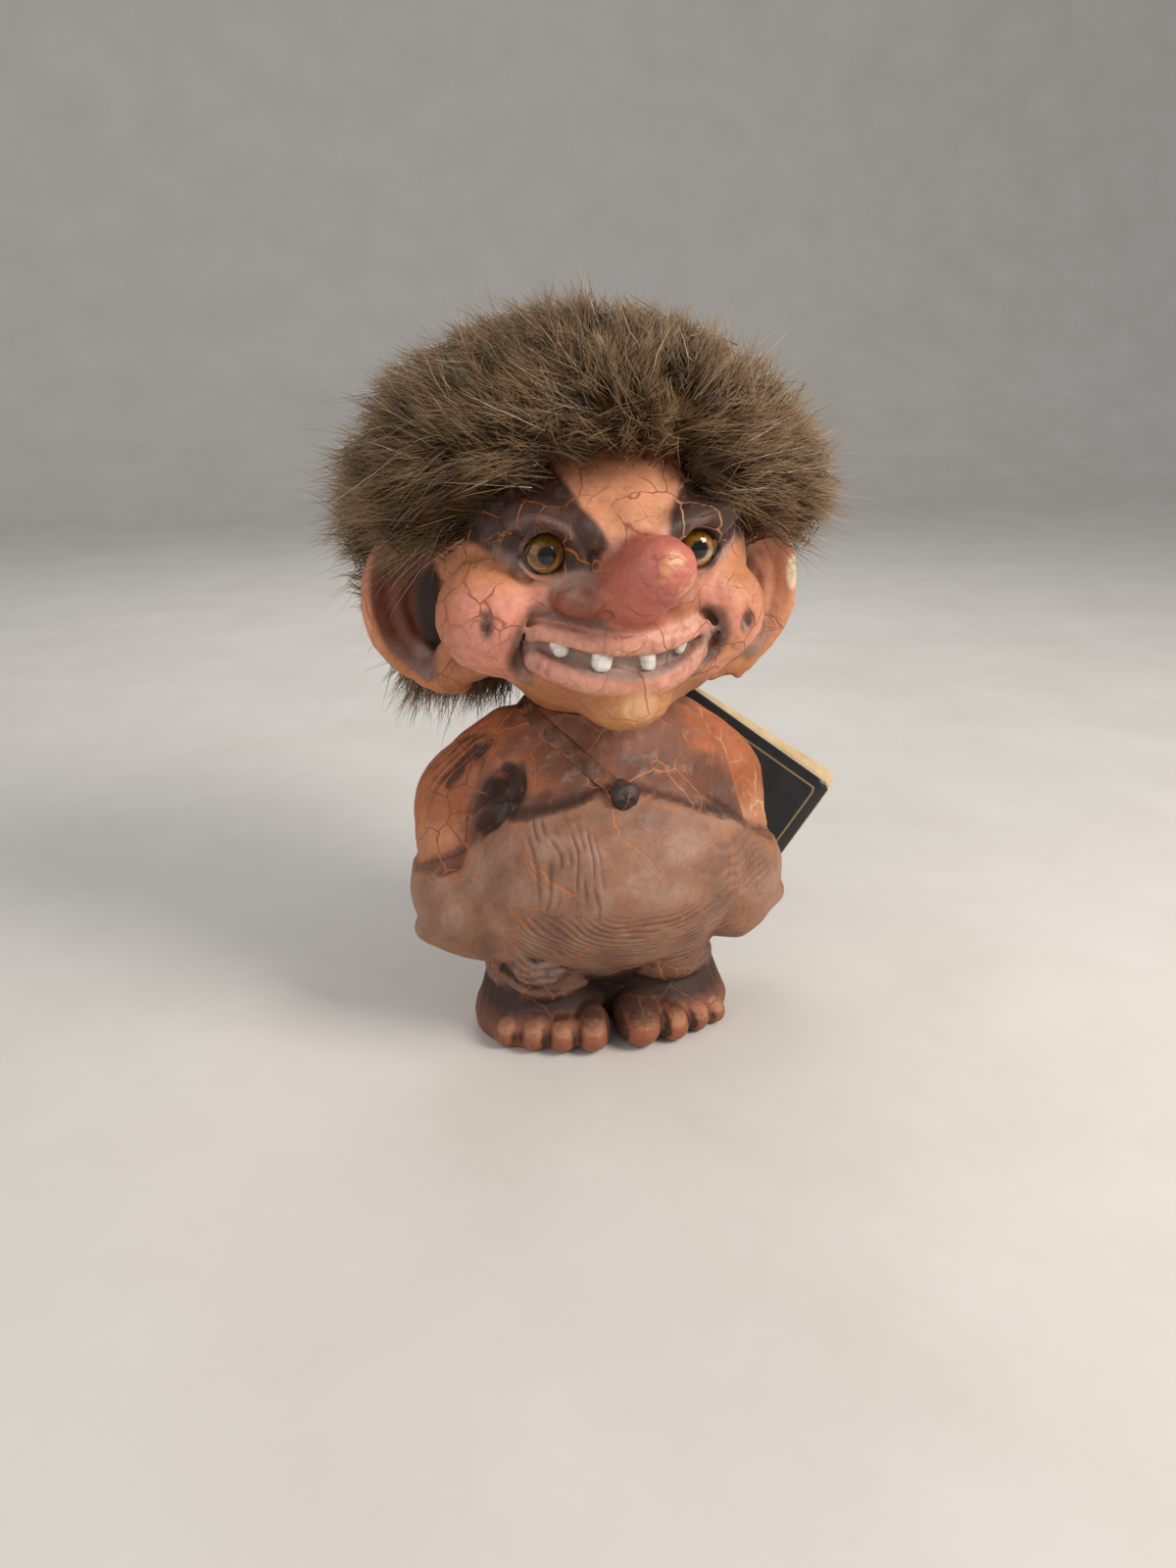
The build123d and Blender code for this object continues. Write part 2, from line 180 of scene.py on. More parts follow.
def egg(centre, radii, axis=None):
    """An ellipsoid whose first radius lies along axis. Its distance is k (k - 1) / g, where k is the
    length of p / r and g the length of p / r / r."""
    centre = np.array(centre, float)
    turn = np.eye(3)
    if axis is not None:
        first = np.array(axis, float) / np.linalg.norm(axis)
        second = np.cross(first, [0.3, 0.2, 1.0])
        second /= np.linalg.norm(second)
        turn = np.stack([first, second, np.cross(first, second)])
    reach = np.abs(turn.T) @ np.array(radii, float)

    def distance(x, y, z):
        k = 0
        g = TINY
        for row, radius in zip(turn, radii):
            part = row[0] * (x - centre[0]) + row[1] * (y - centre[1]) + row[2] * (z - centre[2])
            k = k + (part / radius) ** 2
            g = g + (part / radius**2) ** 2
        k = np.sqrt(k)
        return k * (k - 1) / np.sqrt(g)

    return Form(distance, centre - reach, centre + reach)


def span_egg(start, end, radius, overrun):
    """An egg that runs from start to end and past both by overrun."""
    start, end = np.array(start, float), np.array(end, float)
    half = np.linalg.norm(end - start) / 2 + overrun
    return egg((start + end) / 2, (half, radius, radius), end - start)


def rope(points, radii):
    """A round rope along points: the distance to the nearest of its links, less the thickness there."""
    points = np.array(points, float)
    radii = np.broadcast_to(radii, len(points)).astype(float)

    def distance(x, y, z):
        nearest = FAR
        for start, end, thick, next_thick in zip(points[:-1], points[1:], radii[:-1], radii[1:]):
            run = end - start
            off = x - start[0], y - start[1], z - start[2]
            share = np.clip(sum(o * r for o, r in zip(off, run)) / (run @ run), 0, 1)
            away = np.sqrt(sum((o - share * r) ** 2 for o, r in zip(off, run)))
            nearest = np.minimum(nearest, away - thick - (next_thick - thick) * share)
        return nearest

    return Form(distance, points.min(0) - radii.max(), points.max(0) + radii.max())


def stack(rings, centre_x=0.0, grow=0.0):
    """Level ellipses above each other, closed flat at both ends. Their sizes follow a smooth curve from
    ring to ring, and a ring is its height, half width, half depth and the y of its centre."""
    heights, widths, depths, middles = np.array(rings, float).T

    def distance(x, y, z):
        a = through(heights, widths, z) + grow
        b = through(heights, depths, z) + grow
        wall = ellipse(x - centre_x, y - through(heights, middles, z), a, b)
        return np.maximum(wall, np.maximum(heights[0] - grow - z, z - heights[-1] - grow))

    low = centre_x - widths.max() - grow, (middles - depths).min() - grow, heights[0] - grow
    high = centre_x + widths.max() + grow, (middles + depths).max() + grow, heights[-1] + grow
    return Form(distance, np.array(low), np.array(high))


# %% The block of clay
CORNERS = np.array([[i, j, k] for i in (0, 1) for j in (0, 1) for k in (0, 1)])


class Clay:
    """A block of cubes that holds the distance to the surface, negative inside."""

    def __init__(self, low, high, step):
        self.low = np.array(low, float)
        self.step = step
        counts = np.ceil((np.array(high) - self.low) / step).astype(int) + 1
        self.axes = [start + step * np.arange(count) for start, count in zip(self.low, counts)]
        self.field = np.full(counts, FAR, np.float32)

    def window(self, form, margin):
        """The cubes near a form, and their coordinates."""
        spans = []
        for start, low, high, axis in zip(self.low, form.low, form.high, self.axes):
            first = int(np.clip((low - margin - start) / self.step, 0, len(axis) - 1))
            last = int(np.clip((high + margin - start) / self.step + 2, 1, len(axis)))
            spans.append(slice(first, last))
        x, y, z = (axis[span] for axis, span in zip(self.axes, spans))
        return tuple(spans), x[:, None, None], y[None, :, None], z[None, None, :]

    def blend(self, form, soft, sign):
        """Joins a form on where the sign is 1 and takes it away where it is -1, with a fillet of about
        the soft size: the smaller distance, less a bump where the two are nearly equal."""
        spans, x, y, z = self.window(form, soft + 4 * self.step)
        new = form.distance(x, y, z)
        old = sign * self.field[spans]
        close = np.maximum(soft - np.abs(old - new), 0) / soft
        self.field[spans] = sign * (np.minimum(old, new) - close * close * soft / 4)

    def add(self, form, soft=0.01):
        """Joins a form on, with a fillet."""
        self.blend(form, soft, 1)

    def cut(self, form, soft=0.01):
        """Takes a form away, with a rounded edge."""
        self.blend(form, soft, -1)

    def keep(self, height, upper):
        """Cuts the block level: keeps what is above the height, or below it."""
        z = self.axes[2][None, None, :]
        self.field = np.maximum(self.field, height - z if upper else z - height).astype(np.float32)

    def sample(self, points):
        """The distance at any points, mixed from the eight cubes around each."""
        place = (points - self.low) / self.step
        limit = np.array(self.field.shape) - 2
        first = np.clip(np.floor(place).astype(int), 0, limit)
        share = np.clip(place - first, 0, 1)
        total = 0
        for corner in CORNERS:
            weight = np.prod(np.where(corner, share, 1 - share), axis=1)
            i, j, k = (first + corner).T
            total = total + weight * self.field[i, j, k]
        return total

    def slope(self, points):
        """How the distance grows along x, y and z, from samples a cube's width apart."""
        shifts = np.eye(3) * self.step / 2
        steps = [self.sample(points + shift) - self.sample(points - shift) for shift in shifts]
        return np.stack(steps, axis=1) / self.step

    def front(self, x, z, start=-60.0, reach=90.0):
        """The y at which a line along +y first meets the surface, for each x and z."""
        depths = np.arange(start, start + reach, self.step / 2)
        points = np.stack(np.broadcast_arrays(x[:, None], depths[None, :], z[:, None]), axis=-1)
        inside = self.sample(points.reshape(-1, 3)).reshape(len(x), -1) < 0
        return np.where(inside.any(axis=1), depths[inside.argmax(axis=1)], 0.0)

    def skin(self):
        """The closed surface at zero. Each cube that it crosses gets one point, at the mean of the
        crossings on its edges, which then slides along the slope onto the surface, and each grid edge
        that it crosses gets a quad."""
        inside = self.field < 0
        size = np.array(inside.shape) - 1
        count = np.zeros(size, np.int8)
        for i, j, k in CORNERS:
            count += inside[i : i + size[0], j : j + size[1], k : k + size[2]]
        cells = np.argwhere((count > 0) & (count < 8))
        number = np.full(size, -1, np.int32)
        number[tuple(cells.T)] = np.arange(len(cells))
        total = np.zeros((len(cells), 3))
        hits = np.zeros(len(cells))
        for start in CORNERS:
            for axis in np.flatnonzero(start == 0):
                end = start + np.eye(3, dtype=int)[axis]
                first = self.field[tuple((cells + start).T)]
                last = self.field[tuple((cells + end).T)]
                crossed = (first < 0) != (last < 0)
                share = np.where(crossed, first / np.where(crossed, first - last, 1), 0)
                total += crossed[:, None] * (start + share[:, None] * (end - start))
                hits += crossed
        points = self.low + self.step * (cells + total / hits[:, None])
        for _ in range(3):
            rise = self.slope(points)
            points -= rise * (self.sample(points) / np.maximum((rise**2).sum(1), 0.2))[:, None]
        quads = []
        for axis in range(3):
            u, v = np.eye(3, dtype=int)[[(axis + 1) % 3, (axis + 2) % 3]]
            first = np.take(inside, range(inside.shape[axis] - 1), axis)
            second = np.take(inside, range(1, inside.shape[axis]), axis)
            edges = np.argwhere(first != second)
            room = np.delete(np.array(size), axis)
            across = np.delete(edges, axis, axis=1)
            edges = edges[((across > 0) & (across < room)).all(axis=1)]
            around = [number[tuple((edges - shift).T)] for shift in (0 * u, u, u + v, v)]
            ring = np.stack(around, axis=1)
            outward = inside[tuple(edges.T)]
            quads.append(np.where(outward[:, None], ring, ring[:, ::-1]))
        return points, np.concatenate(quads)


def ripple(points, size, seed):
    """Smooth unevenness between about -1 and 1: a mean of sine waves that run in scattered directions."""
    draw = np.random.default_rng(seed)
    waves = draw.normal(size=(9, 3)) * 2 * pi / size / 1.7
    phases = draw.uniform(0, 2 * pi, 9)
    return np.sin(points @ waves.T + phases).mean(axis=1) * 2


def ramp(value, low, high):
    """0 below low, 1 above high and a smooth step between. With low above high it falls instead."""
    t = np.clip((value - low) / (high - low), 0, 1)
    return t * t * (3 - 2 * t)


def near(form, points, reach, feather):
    """1 within reach of a form's surface and 0 further off than reach and feather."""
    return ramp(form.distance(*points.T), reach + feather, reach)


# %% [markdown]
# ## The head
#
# The head is a pear with the small end at the neck. Ball cheeks, a wide muzzle, a chin, frowning brows and
# a bulb of a nose are pressed onto it, and the ears are plates with a rolled rim and a deep cup. The lumps
# take the sizes and places of the CAD's head, and the lips, lids, folds and dimples are added over them.

# %% Model the head
NECK = 77.0
HEAD_RINGS = [
    (NECK, 15.0, 14.0, -3.0),
    (NECK + 7, 21.5, 22.0, -7.0),
    (NECK + 15, 28.5, 27.0, -5.0),
    (NECK + 25, 32.5, 30.5, -1.0),
    (NECK + 36, 33.0, 33.0, 3.0),
    (NECK + 49, 30.5, 32.0, 6.0),
    (NECK + 57, 22.0, 24.0, 7.0),
    (NECK + 62, 10.5, 11.5, 7.0),
]
EYES = {-1: np.array([-16.8, -24.2, 113.0]), 1: np.array([13.8, -24.2, 113.0])}
EAR = np.array([38.0, 5.0, 96.5])
EAR_TURN, EAR_TILT, EAR_REACH = radians(22), radians(12), 22
HEAD_CUBE = 0.57
UPPER_LIP = [(-19.3, -27.5, 98.6), (-14, -30.3, 97.6), (-8, -32.2, 96.3), (-2, -33.2, 95.8), (4, -33.0, 95.8),
             (10, -31.2, 96.6), (15, -28.8, 98.2)]
LOWER_LIP = [(-19.0, -27.0, 92.3), (-14, -29.8, 89.8), (-8, -31.4, 88.0), (-2, -32.2, 87.2), (4, -32.0, 87.4),
             (9.5, -30.8, 89.2), (14, -28.8, 92.6)]
MOUTH = [(-19.4, -28.6, 95.4), (-13, -31.6, 93.4), (-6, -33.8, 91.9), (1, -34.0, 91.6), (8, -32.8, 92.9),
         (14.5, -29.6, 95.8)]
SMILE_LEFT = [(-18.5, -27.2, 101.2), (-21.6, -26.6, 97.5), (-22.4, -25.6, 93), (-20.6, -23.6, 88.5)]
SMILE_RIGHT = [(15.0, -28.0, 100.2), (18.6, -26.8, 97.2), (17.2, -27.2, 93.4), (13.6, -27.6, 90)]
LID_FOLD = [(-24.5, -22.0, 114.0), (-23.2, -25.0, 117.6), (-19, -29.0, 119.8), (-14.6, -31.4, 118.4),
            (-11.2, -31.2, 115.0), (-9.0, -29.6, 110.5)]
CHEEKS = {-1: ((-25.6, -17.5, 99.5), (11.6, 11.7, 11.8)), 1: ((21.2, -18.5, 99.0), (10.4, 10.8, 10.8))}
CHIN = ((-0.5, -26.8, 83.0), (9.0, 7.2, 6.4))
WINGS = {-1: ((-9.6, -30.2, 104.6), (6.0, 4.9, 3.8)), 1: ((8.4, -29.2, 104.2), (4.6, 4.4, 3.4))}
MUZZLE = ((-1, -23, 93), (19, 10.6, 11))
NOSE_BULB = ((1.7, -42.0, 111.6), (6.7, 6.8, 6.4))
DIMPLES = [((-28.9, -28.8, 100.1), (0.8, 1.9, 2.2)), ((24.8, -28.6, 98.0), (1.0, 2.0, 1.8))]
MOUTH_SIZE = [0.8, *[2.3] * (CURVE_POINTS - 2), 0.8]
LOBES = {-1: (np.array([(-36.0, 1.0, 83.5), (-31.0, -2.0, 83.8), (-25.5, -7.0, 86.5)]), [3.0, 2.7, 2.2]),
         1: (np.array([(38.0, 3.5, 84.5), (36.4, 2.6, 81.0), (35.2, 2.0, 78.6)]), [3.2, 2.0, 0.9])}


def lid_fold(side):
    """The fold that arches over an eye and comes down beside the nose."""
    fold = np.array(bend(LID_FOLD))
    return fold if side < 0 else fold * (-1, 1, 1) - (2.8, 0, 0)


def ear_point(side, places):
    """Places on an ear, given across it, up it and in front of its middle plane, as points of the
    figure."""
    short, long, front = np.array(places, float).T
    out = short * cos(EAR_TILT) + long * sin(EAR_TILT)
    up = long * cos(EAR_TILT) - short * sin(EAR_TILT)
    x = side * (EAR[0] + out * cos(EAR_TURN) + front * sin(EAR_TURN))
    y = EAR[1] + out * sin(EAR_TURN) - front * cos(EAR_TURN)
    return np.stack([x, y, EAR[2] + up], axis=1)


def ear_space(side, x, y, z):
    """The other way round: how far points lie across an ear, up it and in front of it."""
    x = side * x - EAR[0]
    y = y - EAR[1]
    out = x * cos(EAR_TURN) + y * sin(EAR_TURN)
    front = x * sin(EAR_TURN) - y * cos(EAR_TURN)
    up = z - EAR[2]
    short = out * cos(EAR_TILT) - up * sin(EAR_TILT)
    long = out * sin(EAR_TILT) + up * cos(EAR_TILT)
    return short + 0.010 * np.minimum(long, 0) ** 2, long, front - 0.016 * short * np.abs(short)


def ear_plate(side, half_width=11.8, half_height=18.0, half_thick=2.8, edge=2.2):
    """A rounded plate: the distance to an ellipse across it and to its two faces, joined round the edge."""

    def distance(x, y, z):
        short, long, front = ear_space(side, x, y, z)
        rim = ellipse(short, long, half_width, half_height) + edge
        face = np.abs(front) - half_thick + edge
        return np.hypot(np.maximum(rim, 0), np.maximum(face, 0)) + np.minimum(np.maximum(rim, face), 0) - edge

    middle = EAR * (side, 1, 1)
    return Form(distance, middle - EAR_REACH, middle + EAR_REACH)


def ear_hollow(side, middle, radii):
    """An egg-shaped hollow in an ear, placed across it, up it and in front of it."""

    def distance(x, y, z):
        axes = zip(ear_space(side, x, y, z), middle, radii)
        parts = [(value - start) / radius for value, start, radius in axes]
        return (np.sqrt(sum(part**2 for part in parts)) - 1) * min(radii)

    corner = EAR * (side, 1, 1)
    return Form(distance, corner - EAR_REACH, corner + EAR_REACH)


def model_head():
    """All the lumps and cuts of the head, from the skull to the eye seats."""
    clay = Clay((-55, -54, 74), (55, 42, 142), HEAD_CUBE)
    clay.add(stack(HEAD_RINGS))
    clay.add(egg(*MUZZLE), 4)
    clay.add(egg(*CHIN), 5)
    for side in (-1, 1):
        clay.add(egg(*CHEEKS[side]), 3.0)
        clay.add(span_egg((side * 23, -15, 95), (side * 8, -21.5, 85), 6.5, 3.5), 5)
        clay.add(span_egg((side * 5, -31, 116), (side * 22.5, -23, 120.5), 4.4, 2), 3.0)
        clay.add(egg(*WINGS[side]), 2.4)
    clay.add(span_egg((0, -28, 120), (0, -33, 109), 4.6, 3), 4)
    clay.add(span_egg((-0.5, -27, 103.5), (1.0, -40, 110.6), 6.9, 4), 4)
    clay.add(egg(*NOSE_BULB), 4)
    for side in (-1, 1):
        clay.cut(egg((side * 6.6, -35.2, 101.0), (2.0, 2.4, 1.7)), 1.0)
        eye = EYES[side]
        clay.cut(egg(eye - (0, 8.8, 0.4), (6.6, 6.5, 5.6)), 2.0)
        angles = np.linspace(radians(8), radians(172), 14)
        lid = np.stack([5.0 * np.cos(angles), -3.0 - 0.8 * np.sin(angles), 4.6 * np.sin(angles)], axis=1)
        clay.add(rope(eye + lid, 0.6), 1.4)
        clay.add(rope(eye + lid * (1, 0.7, -1), 0.6), 1.4)
        clay.add(rope(lid_fold(side), np.linspace(0.35, 0.7, CURVE_POINTS)), 1.0)
        brow_crease = bend([(side * 6.5, -33.6, 120), (side * 13, -30.5, 122.8), (side * 21, -24, 124.2)])
        clay.cut(rope(brow_crease, 0.6), 1.2)
    clay.cut(rope(bend(MOUTH), MOUTH_SIZE), 1.0)
    clay.add(rope(bend(UPPER_LIP), 1.5), 2.0)
    clay.add(rope(bend(LOWER_LIP), 1.6), 2.4)
    clay.cut(rope(bend([(x, y - 1.4, z + 2.9) for x, y, z in UPPER_LIP[:4]]), 0.7), 1.6)
    for line, thick in ((SMILE_LEFT, 0.45), (SMILE_RIGHT, 0.8)):
        clay.cut(rope(bend(line), [0.1, *[thick] * (CURVE_POINTS - 2), 0.1]), 2.4)
    for dimple in DIMPLES:
        clay.cut(egg(*dimple), 1.6)
    for side in (-1, 1):
        clay.add(ear_plate(side), 2.0)
        clay.cut(ear_hollow(side, (0.2, 1.2, 4.6), (8.0, 13.6, 5.4)), 1.6)
        clay.cut(ear_hollow(side, (-4.6, -2.2, 1.4), (4.2, 8.4, 2.4)), 1.2)
        ridge = bend([(-1.5, 9.5, -0.2), (3.0, 6.0, 0), (4.2, 0, 0.1), (2.2, -6.5, 0.4), (-2.5, -10.6, 1.2)])
        clay.add(rope(ear_point(side, ridge), 1.35), 1.4)
        lobe = bend([(0.5, -13.5, 0), (-3.4, -16.6, 0.2), (-6.2 - side, -18.2 - side, 0.2)], 8)
        clay.add(rope(ear_point(side, lobe), np.linspace(3.2, 1.7 - 0.5 * side, 8)), 2.0)
        clay.add(rope(*LOBES[side]), 2.0)
        clay.add(egg((side * 31.0, -1.0, 87.5), (5.0, 3.2, 4.6)), 2.0)
        seat = EYES[side] - (0, 4.1, 0)
        clay.cut(rope([seat, seat - (0, 24, 0)], 4.15), 0.4)
    clay.keep(NECK, upper=True)
    return clay


head_clay = model_head()
head_points, head_faces = head_clay.skin()
unevenness = 0.14 * ripple(head_points, 7, 3) + 0.07 * ripple(head_points, 3, 4)
head_points += head_clay.slope(head_points) * unevenness[:, None]
print("head skin:", len(head_points), "points")

# %% [markdown]
# ## The head's paint
#
# The real paint is brushed on in zones: rose on cheeks, nose and lips, dark brown over the brows and in the
# ear cups, where it is partly painted shade, strongest in the left ear. The ochre towards the neck is painted
# shade on the jaw. Painted shade also darkens the cheeks' outer sides, the ears' pits, the nostril wings, the
# mouth's corners, the creases and the dimples, and a painted highlight lightens the chin's front. Dark wash
# lies in the hollows, partly the paint's wash and partly painted shade, and pale dust on the folds. Each zone
# is a soft mask, a function of place, and the result is stored on the points. How deep a point lies in a
# hollow comes from the clay: a short way out along its normal, the distance should have grown by as much,
# and in a hollow it hasn't.

# %% Paint the head
ROSE, FLESH, OCHRE = "dc9078", "d8936c", "c07c48"
NOSE_RED, LIP = "c87060", "d99880"
BROWN, DARK, GREY = "42281f", "2a1812", "8f7468"
CRACK_RED, CRACK_ORANGE, CRACK_CREAM = "8a4028", "d8803c", "e8bc8c"


def coats(ground, count, *layers):
    """Colours for a number of points: a ground colour and coats brushed over it in turn, each as thick as
    its mask. The colours are hex digits."""
    colour = np.tile(linear(ground), (count, 1))
    for tone, mask in layers:
        colour = colour + (linear(tone) - colour) * np.clip(mask, 0, 1)[:, None]
    return colour


def hollow(clay, points, normals, reach):
    """0 on open skin, towards 1 in a hollow: how far the distance falls short, a way out along the
    normal."""
    return np.clip(1 - clay.sample(points + normals * reach) / reach, 0, 1)


def unit(vectors):
    """Vectors brought to length one."""
    return vectors / np.maximum(np.linalg.norm(vectors, axis=-1, keepdims=True), 1e-9)


def paint_head(points, normals):
    """The colour, its cracks' colour, and the wash with painted shade, dust and gloss at each point of the
    head.
    """
    x, y, z = points.T
    count = len(points)

    def beside(line, thick, reach, feather):
        """Where the skin is near a rope along a line."""
        return near(rope(bend(line), thick), points, reach, feather)

    wander = ripple(points, 9, 5)
    cheeks = sum(near(egg(*CHEEKS[side]), points, 0.8, 3.5) for side in (-1, 1))
    ear = ramp(np.abs(x) + 0.4 * y, 33.5, 36.0) * ramp(y, -9, -4)
    short, long, _ = ear_space(np.sign(x), x, y, z)
    cups = [ear_hollow(side, (0.2, 1.2, 4.6), (8.0, 13.6, 5.6)) for side in (-1, 1)]
    cup = sum(near(form, points, 0.5, 0.8) for form in cups)
    streak = (x > 0) * ramp(np.abs(short + 6.0), 2.2, 0.8) * ramp(long, -12, -6)
    chip = near(egg((49.0, 4.5, 101.5), (1.0, 3, 3.2)), points + wander[:, None] * 0.6, 0.1, 1.0)
    pits = [ear_hollow(side, (-4.6, -2.2, 0.4), (4.2, 8.4, 3.0)) for side in (-1, 1)]
    shaded_pit = sum(near(form, points, 0.4, 1.6) for form in pits)
    left_edge = np.interp(z, [110, 115.5, 121, 126.3, 131], [-4.5, -5.7, -8.8, -12.5, -14.5])
    right_edge = np.interp(z, [110, 115.5, 120.7, 125.5, 131], [4.2, 4.8, 7.2, 11.0, 13.5])
    wedge = ramp(x - left_edge + 0.7 * wander, -0.9, 0.9) * ramp(right_edge - x + 0.7 * wander, -0.9, 0.9)
    cheek_top = np.interp(np.abs(x + 1), [8, 14.4, 19.4, 25.6, 30], [104.5, 105.6, 109.6, 112.2, 113.5])
    brow = (1 - wedge) * ramp(z - cheek_top + 0.6 * wander, -0.6, 1.2) * ramp(y, -6, -11)
    nose = near(span_egg((0, -30, 105), (1.7, -43, 111.6), 8, 6), points, 0.4, 2.2) * ramp(y, -29, -33)
    worn = near(egg((3.4, -48.0, 111.6), (2.6, 2, 3.2)), points, 0.2, 2.2)
    worn = worn * ramp(ripple(points, 2.6, 7), -0.6, 0.5)
    wings = sum(near(egg(*WINGS[side]), points, 1.0, 1.6) for side in (-1, 1))
    fold = np.maximum(*[near(rope(lid_fold(side), 0.5), points, 0.35, 0.6) for side in (-1, 1)])
    socket = ramp(z - cheek_top, 3.4, 0.6) * ramp(z - cheek_top, -1.2, 0.2) * ramp(y, -12, -18) * (1 - nose)
    lips = np.maximum(beside(UPPER_LIP, 1.9, 0.3, 0.7), beside(LOWER_LIP, 1.7, 0.3, 0.7))
    muzzle = near(egg((-1, -23, 92), (19, 11.4, 9)), points, 0.5, 3)
    # Painted shade: the mouth's corners.
    corner = near(egg((-21.0, -26.5, 94.6), (2.4, 4, 4.4)), points, 0.3, 2.2)
    corner = np.maximum(corner, near(egg((17.4, -28.5, 95.6), (2.2, 4, 4.8)), points, 0.3, 2.0))
    slit = beside(MOUTH, MOUTH_SIZE, 0.2, 0.7) * (1 - lips)
    shadow = beside([(-19, -28, 100.6), (-14, -29, 101.0), (-8, -31, 99.8), (-3, -33, 99.3)], 1.0, 0.4, 1.4)
    smile = np.maximum(beside(SMILE_LEFT, 1.1, 0.5, 1.6), beside(SMILE_RIGHT, 1.3, 0.5, 1.8))
    # Painted highlight: the chin's front and tip lighter than the jaw.
    chin_highlight = near(egg((0.5, -27.5, 83), (7, 7, 5.5)), points, 0.3, 2.5) * (1 - lips)
    chin_tip_highlight = near(egg((0.8, -33.2, 83.0), (2.6, 2, 2.4)), points, 0.2, 1.8)
    dimple_shade = np.maximum.reduce([near(egg(*dimple), points, 0.1, 1.2) for dimple in DIMPLES])
    colour = coats(
        FLESH,
        count,
        # Painted shade: the jaw darker towards the neck.
        ("a86a3e", ramp(z, 95, 86) * 0.85),
        ("b5744e", ramp(z, 122, 130) * 0.7),
        (ROSE, cheeks),
        ("c97a62", cheeks * ramp(ripple(points, 3.5, 41), 0.0, 0.9) * 0.55),
        ("d88f5c", cheeks * ramp(z + 2 * wander, 103, 109) * 0.7),
        ("d58c5c", cheeks * ramp(x, 5, 15) * ramp(wander, -0.8, 0.6) * 0.6),
        # Painted shade: the cheeks darker towards their outer sides.
        ("b0653e", cheeks * ramp(np.abs(x + 2) + wander, 29.5, 35) * 0.6),
        (FLESH, ear),
        (OCHRE, ear * ramp(long, 0, -14)),
        ("c07a5c", ear * ramp(long, -2, 8) * 0.7),
        # The ear cups' dark brown: partly paint, partly painted shade that is much stronger in the left ear.
        ("6e3a28", cup * ear * np.where(x < 0, 1.0, 0.25)),
        (GREY, cup * ear * ramp(long + 3 * wander, -4, -9) * 0.7),
        ("6a4030", streak * ear * 0.7),
        ("ecd3ac", chip * ear * 0.9),
        # Painted shade: the ears' inner pits dark.
        (DARK, shaded_pit * ear),
        (BROWN, brow * (1 - nose) * ramp(z, 107, 110)),
        ("6b473a", brow * (1 - nose) * ramp(ripple(points, 4, 43), 0.3, 1.0) * 0.6),
        (NOSE_RED, nose),
        ("9a5540", nose * ramp(y, -41, -34) * 0.6),
        ("e8ad78", worn * 0.75),
        # Painted shade: the nostril wings darker, most on the left.
        ("8c4c39", wings * (1 - nose) * np.where(x < 0, 0.9, 0.4)),
        ("b39a8c", wings * (1 - nose) * ramp(z + 0.8 * wander, 106, 107.6) * ramp(x, 2, -4) * 0.6),
        ("8a6c60", fold * ramp(wander, -0.6, 0.4) * 0.4),
        ("a88c80", socket * ramp(ripple(points, 5, 9), -0.5, 0.5) * 0.7),
        (LIP, muzzle * ramp(z, 88, 94) * 0.5),
        (LIP, lips),
        ("a8624c", lips * ramp(ripple(points * (1, 1, 0.2), 1.7, 45), 0.3, 1.0) * 0.55),
        # Painted shade: the mouth's corners dark grey-brown.
        ("5e453b", corner * (1 - 0.7 * lips) * 0.8),
        ("9c8075", slit),
        # Painted shade: under the nose and in the smile creases.
        ("6a4a40", np.maximum(shadow, 0.8 * smile) * (1 - lips) * (1 - nose) * 0.8),
        # Painted highlight on the chin.
        ("c88a58", chin_highlight * 0.85),
        ("e8b48c", chin_tip_highlight * 0.6),
        # Painted shade: the dimples darker.
        ("5a3c36", dimple_shade * 0.8),
    )
    # Darker in the hollows: partly the paint's brown wash, partly painted shade.
    deep = np.maximum(hollow(head_clay, points, normals, 1.4), 0.8 * hollow(head_clay, points, normals, 4.0))
    wash_and_shade = ramp(deep, 0.25, 1.0) * (1 - 0.6 * nose) * (1 - 0.5 * slit)
    wash_and_shade = wash_and_shade * (0.58 + 0.42 * cup) * (1 - 0.4 * smile)
    dust = ramp(hollow(head_clay, points, normals, 2.6), 0.06, 0.3) * ramp(wander, -0.3, 0.5)
    dust = dust * (1 - cup) * 0.55 * (1 - 0.7 * brow) * (1 - 0.8 * np.clip(wings, 0, 1))
    gloss = np.maximum.reduce([nose, lips, cheeks * 0.5])
    cracks = coats(
        CRACK_RED,
        count,
        (CRACK_ORANGE, np.maximum(brow, ramp(z, 84, 79))),
        (CRACK_CREAM, brow * ramp(x, 0, 6) * 0.7),
    )
    return colour, cracks, np.stack([wash_and_shade, dust, gloss], axis=1)


head_normals = unit(head_clay.slope(head_points))
head_paint = paint_head(head_points, head_normals)
print("head paint: mean", head_paint[0].mean(0).round(3))

# %% [markdown]
# ## The body
#
# Under the head sits a pear-shaped body in dungarees. The bare arms run into the pockets, short trouser
# legs end in ragged cuffs, and the feet have four toes each. The same clay is used. The trousers' cloth
# stands a little proud of the chest. The strokes scribed into the belly and one arm are about as fine as
# the cubes, so the points carry a count of lines and a depth: they sink a little along each line, and the
# finish sharpens the lines from the same count.

